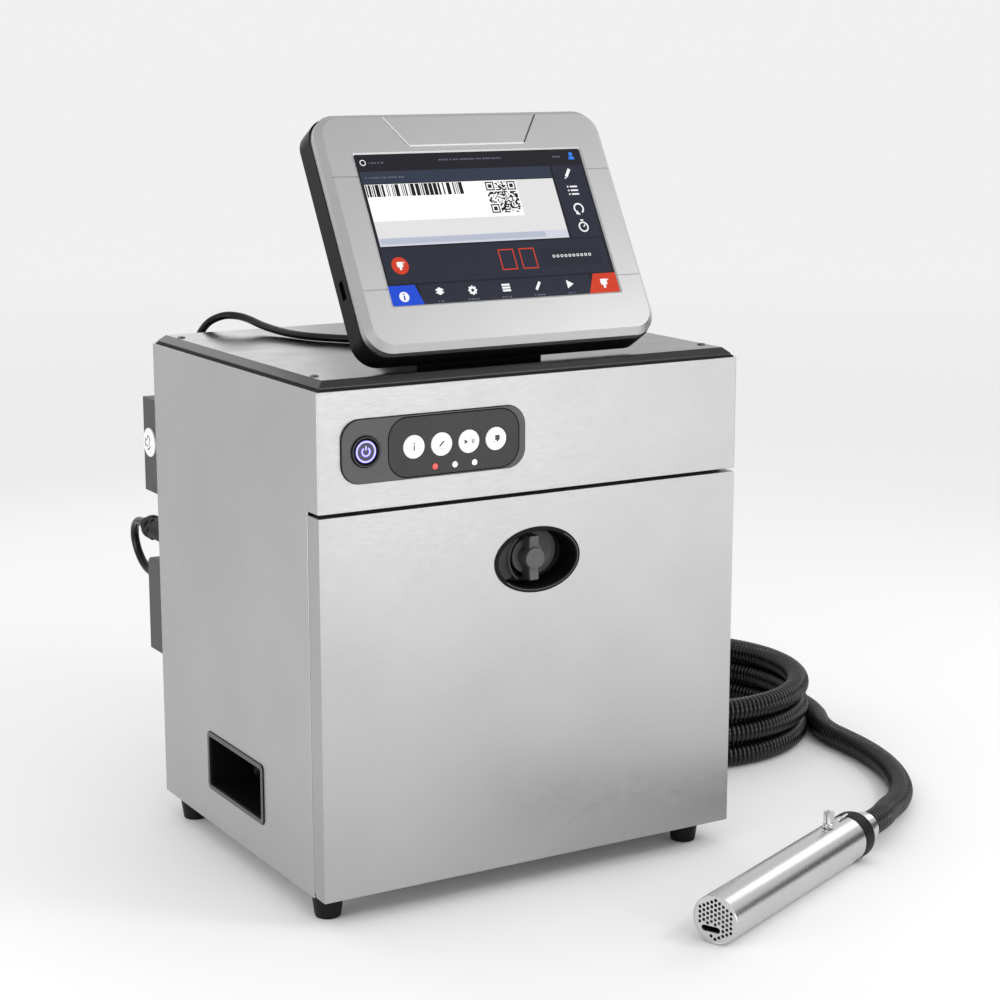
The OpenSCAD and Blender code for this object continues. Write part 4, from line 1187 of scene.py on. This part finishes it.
def make_thumb_screw():
    matrix = on_head_top(193)
    screw = Shape()
    screw.lathe([(0.0, 17.5), (3.0, 17.5), (3.0, 21.2), (4.8, 21.2), (4.8, 24.4), (4.2, 25.0), (0.0, 25.0)],
                matrix, 40)
    cheek = [(-4.6, 22.6), (-3.4, 24.8), (-3.6, 33.8), (-2.6, 35.0), (3.4, 35.0), (4.4, 33.8), (4.2, 27.0),
             (2.8, 23.6), (1.2, 21.6), (-3.8, 20.6), (-6.2, 20.8), (-6.4, 21.6)]
    for low, high in ((-3.3, -0.9), (0.9, 3.3)):
        screw.loft([[(x, y, z) for x, z in cheek] for y in (low, high)], matrix)
    screw.block((-2.0, -1.2, 22.0), (3.2, 1.2, 34.4), matrix)
    made(screw, "thumb_screw_lever", "polished_steel", "head_thumb_screw", replaced=True, smooth_below=25)


def make_head_end():
    clamp = Shape()
    clamp.lathe([(14.05, 226.3), (19.4, 226.3), (20.6, 227.2), (21.0, 229.0), (21.0, 241.0), (20.4, 243.0),
                 (19.0, 244.0), (14.05, 244.0), (14.05, 226.3)], HEAD, 72)
    made(clamp, "head_clamp_ring", "black_rubber", "head_rear_ring", replaced=True)
    stud = Shape()
    stud.lathe([(0.0, 213.0), (0.9, 213.0), (1.2, 213.5), (1.2, 228.0), (0.0, 228.0)],
               HEAD @ mm_matrix(-21.9, 0, 0), 20)
    made(stud, "head_ring_stud", "polished_steel", "head_rear_ring")
    rim = Shape()
    rim.lathe([(19.2, -0.35), (20.0, -0.35), (20.4, 0.1), (20.5, 1.0), (19.2, 1.0), (19.2, -0.35)], HEAD, 96)
    made(rim, "head_face_rim", "polished_steel", "head_cover")


make_keypad_seals()
make_power_button()
for number, key in enumerate(("info_key", "edit_key", "run_key", "stop_key")):
    key_icon(number, key)
make_lamps()
make_latch_bowl()
make_knob()
make_hand_grip("left_hand_grip", "left_handle_cup", facing("left", -200, 6, 79.5))
make_hand_grip("right_hand_grip", "right_handle_cup", facing("right", 200, 6, 79.5))
make_cover_screws()
make_blank_plate()
make_screen_surround()
make_terminal_back()
make_plate_edges()
make_vent_cap()
make_glands()
make_back_screws()
make_fan_guard()
make_thumb_screw()
make_head_end()


# ---- Light and floor ----

# Each soft box: where it stands, how wide it is, and its power in watts
LIGHTS = {
    "front_low": ((0.4, -2.8, 0.45), 1.0, 11.6),
    "fascia_low": ((0.5, -1.3, 0.15), 0.5, 1.1),
    "near_front_right": ((0.9, -1.0, 0.3), 0.6, 0.9),
    "terminal_low": ((0.75, -1.05, 1.15), 0.4, 3.8),
    "left_low": ((-1.2, -0.2, 0.15), 0.8, 7.2),
    "behind_left": ((-0.45, 1.3, 0.75), 0.7, 0.9),
    "behind": ((0.3, 1.5, 0.85), 0.7, 0.8),
    "above_head": ((1.35, 0.1, 0.8), 0.5, 1.3),
}
WORLD_LIGHT = 0.876
FLAG_X = 1.25
FLAG_Y = (-0.9, 0.5)
FLAG_Z = (0.0, 0.3)
FLAG_BLACK = moulded("flag_black", grey(0.004), 0.9, shine=0.0)
FLOOR_RADIUS = 30
# Distances at which the paper starts to grow whiter and is white
FADE_FROM = 1.2
FADE_TO = 5.0


def make_lights():
    centre = (cad_low + cad_high) / 2
    for name, (place, width, power) in LIGHTS.items():
        data = bpy.data.lights.new(name, "AREA")
        data.shape = "DISK"
        data.size = width
        data.energy = power
        light = add_object(name, data)
        aim(light, place, centre - Vector(place))
        light.visible_camera = False
    world = bpy.data.worlds.new("studio")
    world.use_nodes = True
    set_values(world.node_tree.nodes["Background"], {"Color": (1, 1, 1, 1), "Strength": WORLD_LIGHT})
    bpy.context.scene.world = world


def flat_piece(name, corners, material):
    """A studio piece made of one flat face."""
    mesh = bpy.data.meshes.new(name)
    mesh.from_pydata(corners, [], [list(range(len(corners)))])
    mesh.materials.append(material)
    piece = add_object(name, mesh)
    return piece


def make_flag():
    """A black studio flag, seen only in reflections: it draws the dark line along round steel."""
    (near, far), (low, high) = FLAG_Y, FLAG_Z
    flag = flat_piece("flag", [(0, near, low), (0, far, low), (0, far, high), (0, near, high)], FLAG_BLACK)
    flag.location = (FLAG_X, 0, 0.02)
    flag.visible_camera = False
    flag.visible_diffuse = False
    flag.visible_shadow = False


def make_floor():
    """Pale paper that grows whiter with distance, so that it meets the studio's white without a line."""
    paper = Nodes("floor_paper")
    distance = paper.node("ShaderNodeVectorMath", operation="LENGTH")
    paper.link(paper.place, "Object", distance, "Vector")
    far = paper.node("ShaderNodeMapRange", From_Min=FADE_FROM, From_Max=FADE_TO)
    paper.link(distance, "Value", far, "Value")
    paper.colour(far, grey(0.915), grey(1.0), "Result", 0.0, 1.0)
    paper.roughness(paper.noise(0.05), 0.75, 0.85)
    flat_piece("floor", [(FLOOR_RADIUS * x, FLOOR_RADIUS * y, 0) for x, y in circle(1, 64)], paper.material)


make_lights()
make_flag()
make_floor()
bpy.context.scene.view_settings.view_transform = "Standard"
